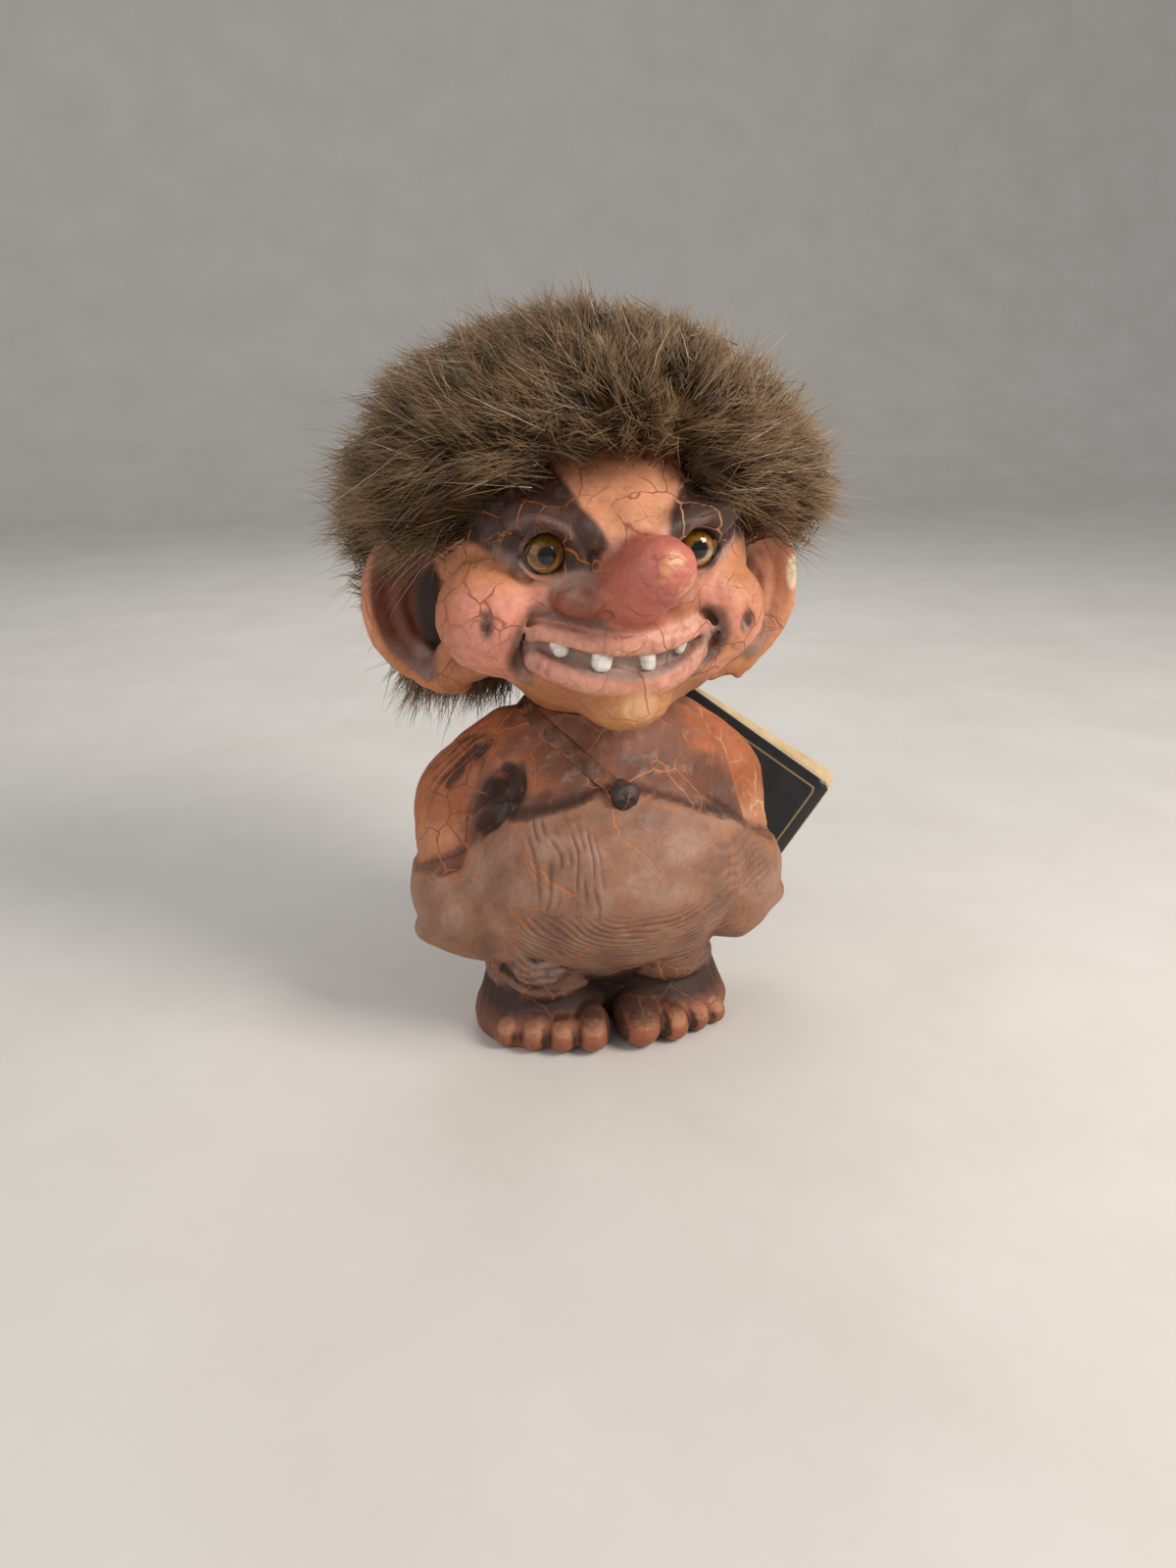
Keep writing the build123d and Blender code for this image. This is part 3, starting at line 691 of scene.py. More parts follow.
# %% Model the body
TORSO_RINGS = [
    (-4.0, 17.5, 13.5, 3.0),
    (15.0, 21.5, 14.5, -3.0),
    (25.0, 27.0, 21.0, -8.5),
    (43.0, 31.5, 28.0, -12.0),
    (60.0, 29.5, 24.5, -5.5),
    (70.0, 24.5, 18.0, -2.0),
    (NECK, 15.0, 14.0, -3.0),
]
FOOT_RINGS = [(-4, 14, 13, -7), (3.5, 15.6, 15.5, -7.5), (9, 13.4, 14.5, -6.5), (18, 11, 10.5, -3)]
CUFF_RINGS = [(12.6, 10.6, 11.6, -8.8), (18, 10.6, 12.2, -9.4), (26, 11, 13, -10), (34, 9, 11, -10)]
ARM_LINE = np.array([(19.5, 1, 67), (27, 1, 60.8), (32.4, 1.5, 54), (33, 0, 47), (32.5, -3, 40)])
ARM_SIZE = np.interp(np.linspace(0, 1, CURVE_POINTS), [0, 0.5, 0.8, 1], [7.8, 9.0, 8.8, 8.0])
TOES = {-1: [(-7.0, -29.2, 4.7, 4), (-14.0, -27.4, 4.3, 9), (-20.6, -25.0, 4.1, 17), (-26.6, -21.4, 3.9, 27)],
        1: [(4.9, -30.5, 5.3, 2), (13.2, -28.6, 4.2, 8), (20.0, -25.6, 3.9, 16), (25.4, -22.6, 3.5, 28)]}
WAIST = np.array([(-44, 40.5), (-41.6, 41.2), (-32.4, 46.2), (-29, 53.5), (-20.7, 57.9), (-10, 61.2),
                  (-5.2, 62.8), (0, 62.8), (7.9, 60.6), (15.2, 57.6), (25.4, 52.8), (33, 46.5), (38.6, 42),
                  (44, 40.5)])
BODY_CUBE, CLOTH_PROUD, STROKE_SINK = 0.54, 0.55, 0.22
POUR_HOLE = np.array([0.0, 5.5, 0.0])
PATCH = ((-17.2, -21.2, 21.0), (6.2, 2.6, 4.4))
RIDGES = [(18.6, -19.6, -14.6), (20.9, -21.2, -17.4), (20.6, -16.2, -13.0), (23.0, -20.6, -14.8)]
HOLLOWS = {-1: ((-25.6, -16.0, 59.4), (7.8, 5.4, 5.0), (-0.62, 0.0, -0.78)),
           1: ((24.0, -20.2, 60.4), (8.5, 5.0, 4.4), (0.70, 0.3, -0.62))}


def toe_form(side, x, y, radius, splay):
    """One toe: an egg behind its tip, splayed outwards by an angle, its direction and the middle of its
    nail."""
    pointing = np.array([side * sin(radians(splay)), -cos(radians(splay)), 0])
    middle = np.array([x, y, radius - 0.5]) - pointing * radius * 1.7
    nail = middle + pointing * radius * 1.22 + (0, 0, radius * 0.70)
    return egg(middle, (radius * 1.7, radius, radius * 1.05), pointing), pointing, nail


def nail_groove(pointing, nail, radius):
    """The groove round a nail: a squared-off ring on the slope of the toe's tip."""
    turn = np.linspace(0, 2 * pi, 21)
    beside = np.cross(pointing, (0, 0, 1))
    rise = np.cross(beside, unit(pointing * 0.62 + np.array([0, 0, 0.60])))
    wide = np.outer(squared(np.cos(turn), 0.6), beside * radius * 0.56)
    high = np.outer(squared(np.sin(turn), 0.6), rise * radius * 0.46)
    return rope(nail + wide + high, 0.36)


def arm_form(side):
    """A bare arm: a rope that slopes from the neck to the elbow and drops into the pocket."""
    return rope(bend(ARM_LINE * (side, 1, 1)), ARM_SIZE)


def model_body():
    """All the lumps and cuts of the body, from the belly to the toes."""
    clay = Clay((-48, -46, -1.5), (48, 26, 79), BODY_CUBE)
    clay.add(stack(TORSO_RINGS))
    for side in (-1, 1):
        clay.add(stack(CUFF_RINGS, side * 14.0), 1.0)
        clay.add(stack(FOOT_RINGS, side * 15.0), 1.5)
        clay.add(arm_form(side), 2.5)
        clay.add(egg((side * 31, -5, 34.5), (12.5, 16, 12.5)), 4.0)
        corner = [(side * 34, -9, 33), (side * 41.0, -11, 28.4)]
        clay.add(rope(corner, [5.5, 1.6]), 3.0)
        hem = bend([(side * 41.2, -11.0, 28.0), (side * 36, -14.5, 26.0), (side * 30, -16.5, 24.6)])
        clay.add(rope(hem, np.linspace(1.5, 2.4, CURVE_POINTS)), 3.5)
        for toe in TOES[side]:
            clay.add(toe_form(side, *toe)[0], 1.2)
        for toe in TOES[side]:
            clay.cut(nail_groove(*toe_form(side, *toe)[1:], toe[2]), 0.5)
    spans = np.linspace(-30, 31, 44)
    heights = through(WAIST[:, 0], WAIST[:, 1], spans)
    lip = np.stack([spans, clay.front(spans, heights) + 0.2, heights], axis=1)
    clay.add(rope(lip, 0.7), 1.0)
    clay.cut(egg(*HOLLOWS[-1]), 4.0)
    line = bend(ARM_LINE * (-1, 1, 1))
    outward = unit(np.cross(np.gradient(line, axis=0), (0, -1, 0)))
    for turn in np.radians([36, 49, 62, 75, 88]):
        wrinkle = line + (np.array([0, -cos(turn), 0]) + outward * sin(turn)) * ARM_SIZE[:, None]
        start = int(1 + 3 * sin(5 * turn) ** 2)
        clay.cut(rope(wrinkle[start : start + 11], [0.1, *[0.5] * 9, 0.1]), 0.8)
    clay.cut(egg(*HOLLOWS[1]), 5.5)
    clay.add(egg((28.5, -13.5, 26.5), (7, 8, 5.5)), 4.0)
    clay.add(egg((-26.0, -13.6, 24.6), (4.4, 5.4, 3.8)), 2.0)
    clay.add(egg((-21.6, -16.6, 24.4), (4.6, 4.8, 3.4)), 2.5)
    cuff = [(-24.2, -13.5, 16.4), (-20.5, -19.2, 14.4), (-14.6, -21.0, 13.2), (-8.0, -18.6, 14.4)]
    clay.add(rope(bend(cuff), 1.3), 1.6)
    for side in (-1, 1):
        opening = np.array([(42.0, 2, 42.6), (41.4, -5.5, 42.4), (37.0, -10.5, 44.4), (31, -12.2, 47)])
        clay.cut(rope(bend(opening * (side, 1, 1)), 0.2), 0.9)
    clay.add(egg(*PATCH), 0.8)
    for height, start, end in RIDGES:
        spans = np.linspace(start, end, 5)
        ridge = np.stack([spans, clay.front(spans, np.full(5, height)), np.full(5, height)], axis=1)
        clay.add(rope(ridge, 0.6), 0.5)
    clay.keep(0.0, upper=True)
    clay.keep(NECK, upper=False)
    clay.cut(rope([POUR_HOLE, POUR_HOLE + (0, 0, 10)], 4.2), 0.3)
    return clay


body_clay = model_body()
body_points, body_faces = body_clay.skin()
print("body skin:", len(body_points), "points")

# %% Raise the cloth and plan the scribed strokes
left_arm, right_arm = arm_form(-1), arm_form(1)


def body_zones(points):
    """Where the trousers, the bare arms and the feet are, each from 0 to 1."""
    x, y, z = points.T
    arms = np.maximum(near(left_arm, points, 0.7, 1.0), near(right_arm, points, 0.7, 1.0))
    arms = arms * ramp(np.abs(x), 22, 26)
    waist = through(WAIST[:, 0], WAIST[:, 1], x)
    waist = waist + (np.interp(np.abs(x), [22, 34], [57, 42]) - waist) * ramp(y, 0, 9)
    cloth = ramp(waist - z + 0.5 * ripple(points, 6, 11), -0.35, 0.35)
    feet = ramp(z, 15.5, 12.2) * np.maximum(ramp(y, -8, -18), ramp(z, 13.5, 11.5))
    return cloth * (1 - feet), arms * (1 - cloth), feet


def strokes(points):
    """The scribed strokes as a count of lines and a depth. They are upright on the belly's left, bowed
    under it, fanned at its right and run along one upper arm. The count grows by one from line to
    line."""
    x, y, z = points.T
    wander = ripple(points, 14, 21)
    facing = ramp(y, -12, -20)
    upright = ramp(x, -23, -20) * ramp(x, -6, -9.5) * ramp(z, 38, 43) * ramp(z, 60, 56) * facing
    away = np.hypot(0.88 * (x - 3), z - 56)
    bowed = ramp(away, 13, 16) * ramp(z, 42, 37) * ramp(z, 17, 20) * ramp(np.abs(x - 1), 27, 22) * facing
    angle = np.arctan2(z - 43, 46 - x)
    fan = ramp(x, 16, 20) * ramp(x, 42, 38) * ramp(z, 33, 37) * ramp(z, 55, 50) * facing * 0.8
    along = (x + 33) * 0.66 + (z - 62) * 0.75
    across = (x + 33) * 0.62 - (z - 62) * 0.58 + (y + 5) * 0.5
    arm = near(left_arm, points, 1.0, 1.0) * ramp(y, 3, -1)
    arm = arm * ramp(np.abs(along - 3), 11, 7) * ramp(np.abs(across + 4), 5.5, 3.5)
    upright = upright * ramp(ripple(points * (1, 1, 0.25), 4, 27), -0.4, 0.4)
    depths = np.stack([0.8 * upright, 0.95 * bowed, 0.6 * fan, 1.5 * arm])
    counts = [x / 1.9 + 0.7 * wander, away / 1.45 + 0.7 * wander, angle * 9 + 0.6 * wander]
    counts = np.stack([*counts, across / 1.5 + 0.4 * wander])
    chosen = depths.argmax(axis=0)
    pick = chosen, np.arange(len(points))
    return counts[pick], depths[pick] * ramp(ripple(points, 7, 23), -0.9, -0.2)


body_normals = unit(body_clay.slope(body_points))
cloth_zone, arm_zone, foot_zone = body_zones(body_points)
stroke_count, stroke_depth = strokes(body_points)
groove = stroke_depth * (0.5 + 0.5 * np.cos(2 * pi * stroke_count)) ** 2
lift = CLOTH_PROUD * cloth_zone + 0.14 * ripple(body_points, 7, 13) - STROKE_SINK * groove
lift = lift * ramp(body_points[:, 2], 0.2, 2.0) * ramp(body_points[:, 2], NECK - 0.2, NECK - 1.5)
body_points += body_normals * lift[:, None]
print("strokes: on", int((stroke_depth > 0.2).sum()), "points")

# %% Paint the body
ARM, CHEST, CLOTH = "b0643a", "7d4d38", "966a52"
FOOT, TOE = "6b4331", "98583a"


def paint_body(points, normals):
    """The colour, its cracks' colour, and the wash with painted shade, dust and gloss at each point of the
    body.
    """
    x, y, z = points.T
    count = len(points)
    wander = ripple(points, 10, 31)
    fine = ripple(points, 4, 33)
    shoulder = ramp(np.abs(x), 13, 22) * ramp(z, 58, 64)
    belt = through(WAIST[:, 0], WAIST[:, 1], x) - z
    rim = ramp(np.abs(belt - 0.6), 1.1, 0.3) * ramp(y, -6, -12) * (1 - arm_zone)
    toes, nails = np.zeros(count), np.zeros(count)
    for side in (-1, 1):
        for toe in TOES[side]:
            form, _, nail = toe_form(side, *toe)
            toes = np.maximum(toes, near(form, points, 0.4, 1.4))
            nails = np.maximum(nails, near(egg(nail, (toe[2] * 0.5,) * 3), points, 0.0, 0.5))
    patch = near(egg(*PATCH), points, 0.7, 0.8)
    ridges = []
    for height, start, end in RIDGES:
        half = (end - start) / 2
        ridge = ramp(np.abs(x - (start + end) / 2), half + 0.4, half - 0.4)
        # Painted highlight: the patch's ridges lighter grey.
        ridges.append(("a89890", patch * (ramp(np.abs(z - height), 1.0, 0.4) * ridge) * 0.8))
    loose = points + 0.9 * fine[:, None]
    # Painted shade: the hollows between the arms and the chest, with a tail along the waist.
    shaded_pit = near(egg(*HOLLOWS[-1]), loose, 0.0, 2.2) * ramp(x - 0.8 * (z - 61), -12, -19)
    shaded_pit = np.maximum(shaded_pit, 0.35 * near(egg(*HOLLOWS[1]), loose, -0.5, 3.2))
    tail_width = np.interp(x, [-27, -17, -6], [6.5, 4.0, 1.5])
    tail = ramp(-belt / tail_width + 0.3 * fine, 1.1, 0.4) * ramp(belt, 0.4, -0.2)
    tail = tail * ramp(x, -4, -8) * ramp(y, -8, -14)
    shaded_pit = np.maximum(shaded_pit, 0.75 * tail * (1 - arm_zone) * ramp(x, -32, -28))
    colour = coats(
        CHEST,
        count,
        ("5f4336", ramp(wander + 0.6 * fine, 0.0, 0.9) * 0.7),
        (ARM, shoulder * ramp(wander, -1.0, 0.2) * 0.8),
        (ARM, arm_zone),
        ("9a5530", arm_zone * ramp(wander + 0.5 * fine, 0.1, 0.9) * 0.6),
        # Painted highlight: the arms lighter at their lower front.
        ("c98f68", arm_zone * ramp(z, 56, 48) * ramp(y, 0, -5) * 0.6),
        (CLOTH, cloth_zone),
        ("a8826c", cloth_zone * ramp(wander, 0.0, 0.8) * 0.6),
        ("7f5a48", cloth_zone * ramp(-wander + 0.5 * fine, 0.2, 1.0) * 0.7),
        ("a8683c", rim * ramp(fine, -0.2, 0.6) * 0.7),
        (FOOT, foot_zone),
        (TOE, toes * ramp(y, -16, -23)),
        ("96583a", ramp(z, 7, 2) * foot_zone * 0.5),
        ("75584e", patch * 0.5),
        *ridges,
        # Painted shade in the arm hollows.
        ("33211a", shaded_pit * 0.9),
        ("b8805e", nails * 0.7),
    )
    deep = np.maximum(hollow(body_clay, points, normals, 1.6), 0.9 * hollow(body_clay, points, normals, 5.0))
    seam_height = np.interp(np.abs(x), [31, 37, 41.4], [47, 44.4, 42.4])
    seam = ramp(np.abs(z - seam_height), 2.6, 1.2) * ramp(np.abs(x), 28, 31)
    band = ramp(np.abs(belt), 3.5, 1.5) * ramp(y, -6, -12)
    # Darker in the hollows: partly the paint's wash, partly painted shade.
    wash_and_shade = ramp(deep, 0.12, 0.7)
    wash_and_shade = wash_and_shade * (1 - 0.5 * np.maximum.reduce([seam, band, near(egg(*PATCH), points, 1.5, 1.5)]))
    shade = ramp(np.abs(belt + 1.2), 1.5, 0.2) * ramp(y, -10, -16) * (1 - arm_zone)
    shade = shade * ramp(np.abs(x), 34, 28) * 0.45
    # Painted shade: darker towards the bottom of the body, under the belly.
    shade_under = ramp(z, 30, 16) * (1 - foot_zone) * 0.35
    wash_and_shade = np.maximum.reduce([wash_and_shade, shade, shade_under, foot_zone * ramp(z, 4.5, 10) * 0.7])
    bare = (1 - cloth_zone) * (1 - arm_zone) * (1 - foot_zone) * (1 - shaded_pit)
    dust = np.maximum(cloth_zone * ramp(wander, -0.2, 0.7) * 0.28, bare * ramp(fine, 0.0, 0.8) * 0.4)
    cracks = coats(
        CRACK_ORANGE,
        count,
        ("c4763f", cloth_zone),
        ("7a4a32", foot_zone),
        (CRACK_CREAM, arm_zone * ramp(x, 0, 10)),
        (CRACK_RED, arm_zone * ramp(x, 0, -10)),
        # The cracks are darker within the painted shade of the hollows.
        ("4a2e22", shaded_pit),
    )
    return colour, cracks, np.stack([wash_and_shade, dust, np.maximum(patch, 0.35 * arm_zone)], axis=1)


body_paint = paint_body(body_points, body_normals)
print("body paint: mean", body_paint[0].mean(0).round(3))

# %% [markdown]
# ## Shader groups
#
# Two effects recur: a meandering network of fine cracks, and cloudy unevenness. Each is a node group with
# its own inputs, so every material sets its own scale and strength. They read object coordinates, which
# stay with the piece however it moves.

# %% Node helpers and groups


class Wiring:
    """Adds nodes to a tree and joins their sockets."""

    def __init__(self, tree):
        self.tree = tree

    def add(self, kind, inputs=(), **settings):
        """One node; its inputs are values or other nodes' sockets."""
        made = self.tree.nodes.new("ShaderNode" + kind)
        for name, value in settings.items():
            setattr(made, name, value)
        for name, value in dict(inputs).items():
            self.set(made.inputs[name], value)
        return made

    def set(self, socket, value):
        """Joins a socket to another, or sets its value."""
        if isinstance(value, bpy.types.NodeSocket):
            self.tree.links.new(value, socket)
        else:
            socket.default_value = value

    def sum(self, operation, first, second=0.0, third=0.0, clamp=False):
        """One Math node's result."""
        made = self.add("Math", operation=operation, use_clamp=clamp)
        for socket, value in zip(made.inputs, (first, second, third)):
            self.set(socket, value)
        return made.outputs[0]

    def mix(self, share, first, second, blend="MIX"):
        """Two colours mixed by a share."""
        made = self.add("Mix", data_type="RGBA", blend_type=blend)
        for number, value in ((0, share), (6, first), (7, second)):
            plain = number > 0 and not isinstance(value, bpy.types.NodeSocket)
            self.set(made.inputs[number], (*value, 1) if plain else value)
        return made.outputs[2]

    def span(self, value, low, high, first=0.0, last=1.0):
        """A value's range mapped to another, held at its ends."""
        inputs = {"Value": value, "From Min": low, "From Max": high, "To Min": first, "To Max": last}
        return self.add("MapRange", inputs, clamp=True).outputs[0]

    def tones(self, share, first, second):
        """Two colours, given as hex digits, mixed by a share."""
        return self.mix(share, linear(first), linear(second))

    def channels(self, name):
        """The three channels of a colour that is stored on the points."""
        stored = self.add("Attribute", attribute_name=name).outputs["Color"]
        return self.add("SeparateColor", {0: stored}).outputs

    def bump(self, shader, height, strength, distance):
        """Fine relief from a height."""
        made = self.add("Bump", {"Strength": strength, "Distance": distance, "Height": height})
        self.set(shader["Normal"], made.outputs[0])


def new_group(name, inputs, outputs):
    """An empty group with float inputs, given with their defaults, and float outputs."""
    tree = bpy.data.node_groups.new(name, "ShaderNodeTree")
    for label, value in inputs.items():
        tree.interface.new_socket(label, in_out="INPUT", socket_type="NodeSocketFloat").default_value = value
    for label in outputs:
        tree.interface.new_socket(label, in_out="OUTPUT", socket_type="NodeSocketFloat")
    wire = Wiring(tree)
    return tree, wire, tree.nodes.new("NodeGroupInput").outputs, tree.nodes.new("NodeGroupOutput").inputs


def scaled(wire, size):
    """Object coordinates counted in units of a size in millimetres."""
    coordinates = wire.add("TexCoord").outputs["Object"]
    per_unit = wire.sum("DIVIDE", 1 / MM, size)
    return wire.add("VectorMath", {0: coordinates, "Scale": per_unit}, operation="SCALE").outputs[0]


def make_crazing():
    """Cracks: the edges between scattered cells, bent by noise, thinned to a width and kept in patches."""
    tree, wire, given, wanted = new_group("Crazing", {"Size": 9.0, "Width": 0.03, "Cover": 0.5}, ["Line"])
    place = scaled(wire, given["Size"])
    noise = wire.add("TexNoise", {"Vector": place, "Scale": 1.3, "Detail": 2.5, "Roughness": 0.6})
    about_middle = {0: noise.outputs["Color"], 1: (0.5, 0.5, 0.5)}
    shift = wire.add("VectorMath", about_middle, operation="SUBTRACT").outputs[0]
    sway = {0: shift, 1: (0.45, 0.45, 0.45), 2: place}
    bent = wire.add("VectorMath", sway, operation="MULTIPLY_ADD").outputs[0]
    cells = wire.add("TexVoronoi", {"Vector": bent, "Scale": 1.0}, feature="DISTANCE_TO_EDGE")
    line = wire.span(cells.outputs["Distance"], 0.0, given["Width"], 1.0, 0.0)
    patch = wire.add("TexNoise", {"Vector": place, "Scale": 0.55, "Detail": 3.0, "Roughness": 0.6}).outputs[0]
    edge = wire.sum("SUBTRACT", 1.0, given["Cover"])
    kept = wire.span(patch, edge, wire.sum("ADD", edge, 0.12))
    wire.set(wanted["Line"], wire.sum("MULTIPLY", line, kept))
    return tree


def make_mottle():
    """Cloudy unevenness about 1: layered noise, stretched to a contrast."""
    tree, wire, given, wanted = new_group("Mottle", {"Size": 10.0, "Contrast": 0.3}, ["Factor", "Noise"])
    layers = {"Vector": scaled(wire, given["Size"]), "Scale": 1.0, "Detail": 6.0, "Roughness": 0.62}
    noise = wire.add("TexNoise", layers).outputs[0]
    stretch = wire.sum("MULTIPLY", given["Contrast"], 4.0)
    spread = wire.sum("MULTIPLY", wire.sum("SUBTRACT", noise, 0.5), stretch)
    wire.set(wanted["Factor"], wire.sum("ADD", spread, 1.0))
    wire.set(wanted["Noise"], noise)
    return tree


CRAZING, MOTTLE = make_crazing(), make_mottle()


def place_group(wire, tree, **inputs):
    """A group in a material, with its own values."""
    made = wire.add("Group", node_tree=tree)
    for name, value in inputs.items():
        wire.set(made.inputs[name.capitalize()], value)
    return made.outputs


def clouds(wire, size):
    """The mottle group's noise, with clouds of a size in millimetres."""
    return place_group(wire, MOTTLE, size=size)["Noise"]


def new_finish(name, **values):
    """A material with a Principled shader; values that are the same all over are set on its own sockets."""
    finish = bpy.data.materials.new(name)
    finish.use_nodes = True
    wire = Wiring(finish.node_tree)
    shader = finish.node_tree.nodes["Principled BSDF"]
    for label, value in values.items():
        shader.inputs[label.replace("_", " ")].default_value = value
    return finish, wire, shader.inputs


def cloudy_finish(name, size, edges, tones, rough=None, relief=None, grain=None, **values):
    """Two colours in clouds. Where they are given, roughness follows the clouds between two values, and
    relief, a strength and a depth, follows them or finer clouds of the grain's size."""
    finish, wire, shader = new_finish(name, **values)
    noise = clouds(wire, size)
    wire.set(shader["Base Color"], wire.tones(wire.span(noise, *edges), *tones))
    if rough:
        wire.set(shader["Roughness"], wire.span(noise, 0.3, 0.7, *rough))
    if relief:
        wire.bump(shader, clouds(wire, grain) if grain else noise, *relief)
    return finish


print("groups:", [tree.name for tree in bpy.data.node_groups])

# %% [markdown]
# ## The painted casting's finish
#
# The stored paint is only the start. The finish breaks it up: cloudy pigment, dark wash and painted shade
# that pool in hollows and streak at their edge, pale dust, and three sizes of crack, the wide ones showing
# the bare material below. The same masks drive roughness and a fine relief, so that the surface reads as old
# painted rubber.

# %% Painted casting


def make_casting():
    """Paint from the points, broken up by wash and painted shade, dust, cracks and scribed strokes."""
    finish, wire, shader = new_finish("painted_casting", Subsurface_Weight=0.06, Subsurface_Scale=0.002)
    colour = wire.add("Attribute", attribute_name="paint").outputs["Color"]
    crack = wire.add("Attribute", attribute_name="cracks").outputs["Color"]
    wash_and_shade, dust, gloss = wire.channels("layers")
    broad = place_group(wire, MOTTLE, size=11.0, contrast=0.16)
    small = place_group(wire, MOTTLE, size=1.6, contrast=0.19)
    for mottle in (broad, small):
        grey = wire.add("CombineColor", {i: mottle["Factor"] for i in range(3)}).outputs[0]
        colour = wire.mix(1.0, colour, grey, "MULTIPLY")
    # The wash channel darkens hollows with the paint's wash and with painted shade.
    pooled = wire.sum("MULTIPLY_ADD", small["Noise"], 0.9, wire.sum("SUBTRACT", wash_and_shade, 0.45))
    wash_and_shade = wire.sum("MULTIPLY", wire.span(pooled, 0.12, 0.62), 0.88)
    colour = wire.mix(wash_and_shade, colour, linear("301c14"))
    specks = clouds(wire, 2.4)
    dust = wire.sum("MULTIPLY", dust, wire.span(specks, 0.42, 0.66))
    colour = wire.mix(dust, colour, linear("b89c8e"))
    wide = place_group(wire, CRAZING, size=10.0, width=0.025, cover=0.56)["Line"]
    hair = place_group(wire, CRAZING, size=4.6, width=0.032, cover=0.48)["Line"]
    tiny = place_group(wire, CRAZING, size=2.1, width=0.045, cover=0.46)["Line"]
    lines = wire.sum("MAXIMUM", wide, wire.sum("MULTIPLY", hair, 0.75))
    lines = wire.sum("MAXIMUM", lines, wire.sum("MULTIPLY", tiny, 0.4))
    colour = wire.mix(wire.sum("MULTIPLY", lines, 0.85), colour, crack)
    rough = wire.sum("MULTIPLY_ADD", gloss, -0.16, wire.span(broad["Noise"], 0.3, 0.7, 0.50, 0.66))
    wire.set(shader["Roughness"], wire.sum("MULTIPLY_ADD", wash_and_shade, 0.12, rough))
    number, depth, _ = wire.channels("strokes")
    wave = wire.sum("COSINE", wire.sum("MULTIPLY", number, 2 * pi))
    stroke = wire.sum("POWER", wire.sum("MULTIPLY_ADD", wave, 0.5, 0.5), 2.0)
    stroke = wire.sum("MULTIPLY", stroke, depth)
    colour = wire.mix(wire.sum("MULTIPLY", stroke, 0.5, clamp=True), colour, linear("4a2e22"))
    wire.set(shader["Base Color"], colour)
    grain = wire.sum("MULTIPLY_ADD", small["Noise"], 0.5, wire.sum("MULTIPLY", specks, 0.5))
    relief = wire.sum("SUBTRACT", grain, wire.sum("MULTIPLY", lines, 0.5))
    relief = wire.sum("SUBTRACT", relief, wire.sum("MULTIPLY", stroke, 1.1))
    wire.bump(shader, relief, 0.55, 0.0005)
    return finish


casting_finish = make_casting()
plain = np.zeros(len(head_points))
for name, points, faces, paint, count, depth in (
    ("head_casting_skin", head_points, head_faces, head_paint, plain, plain),
    ("body_casting_skin", body_points, body_faces, body_paint, stroke_count, stroke_depth),
):
    piece = add_mesh(name, points, faces)
    for layer, values in zip(("paint", "cracks", "layers"), paint):
        add_colour(piece, layer, values)
    add_colour(piece, "strokes", np.stack([count, depth, 0 * depth], axis=1))
    settle(piece, casting_finish, [name.replace("_skin", "")])

# %% [markdown]
# ## Teeth and eyes
#
# Four irregular teeth stand in the mouth. Each is a rounded peg, a grid round its axis that is squared off
# and leaned a little. An eye is a glass dome over a painted disc, both turned about the eye's axis. Real
# glass would carry the disc's colour up to its surface, so the dome takes the same rings of amber and pupil
# under its polish.

# %% Teeth
TEETH = [(-14.5, -30.9, 95.3, 4.6, 3.8, 8), (-6.6, -33.3, 92.5, 4.9, 4.4, -5),
         (2.6, -33.5, 92.6, 3.9, 5.0, 6), (9.8, -32.0, 95.0, 2.9, 4.4, -14)]
TOOTH_ROWS, TOOTH_COLUMNS = 18, 24


def tooth_grid(x, y, z, width, height, lean, depth=4.0):
    """A peg: a ball squared by a power below one on each axis, narrower towards its foot and leaned."""
    v = np.linspace(-pi / 2 + 0.04, pi / 2 - 0.04, TOOTH_ROWS)[:, None]
    u = np.linspace(0, 2 * pi, TOOTH_COLUMNS, endpoint=False)[None, :]
    up = squared(np.sin(v), 0.7) + 0 * u
    across = squared(np.cos(v), 0.55) * squared(np.cos(u), 0.7) * (0.86 + 0.14 * up)
    out = squared(np.cos(v), 0.55) * squared(np.sin(u), 0.8)
    turn = radians(lean)
    across, out, up = across * width / 2, out * depth / 2, up * height / 2
    leaned = across * cos(turn) - up * sin(turn), out, across * sin(turn) + up * cos(turn)
    moved = [part + place for part, place in zip(leaned, (x, y + depth / 2, z))]
    points = np.stack(moved, axis=-1).reshape(-1, 3)
    return points + unit(points - points.mean(0)) * (0.14 * ripple(points, 2.2, 41))[:, None]


def with_caps(points, columns):
    """Triangles for a grid that is closed round its columns, with a point in the middle of each open
    end."""
    count = len(points)
    faces = grid_faces(count // columns, columns)
    numbers = np.arange(columns)
    after = np.roll(numbers, -1)
    low = np.stack([np.full(columns, count), after, numbers], axis=1)
    high = np.stack([np.full(columns, count + 1), numbers + count - columns, after + count - columns], axis=1)
    triangles = np.concatenate([faces[:, [0, 1, 2]], faces[:, [0, 2, 3]], low, high])
    return np.vstack([points, points[:columns].mean(0), points[-columns:].mean(0)]), triangles


def joined(parts):
    """Several point and face arrays as one, with the corner numbers moved on."""
    starts = np.cumsum([0] + [len(points) for points, _ in parts[:-1]])
    faces = [corners + start for start, (_, corners) in zip(starts, parts)]
    return np.vstack([points for points, _ in parts]), np.vstack(faces)


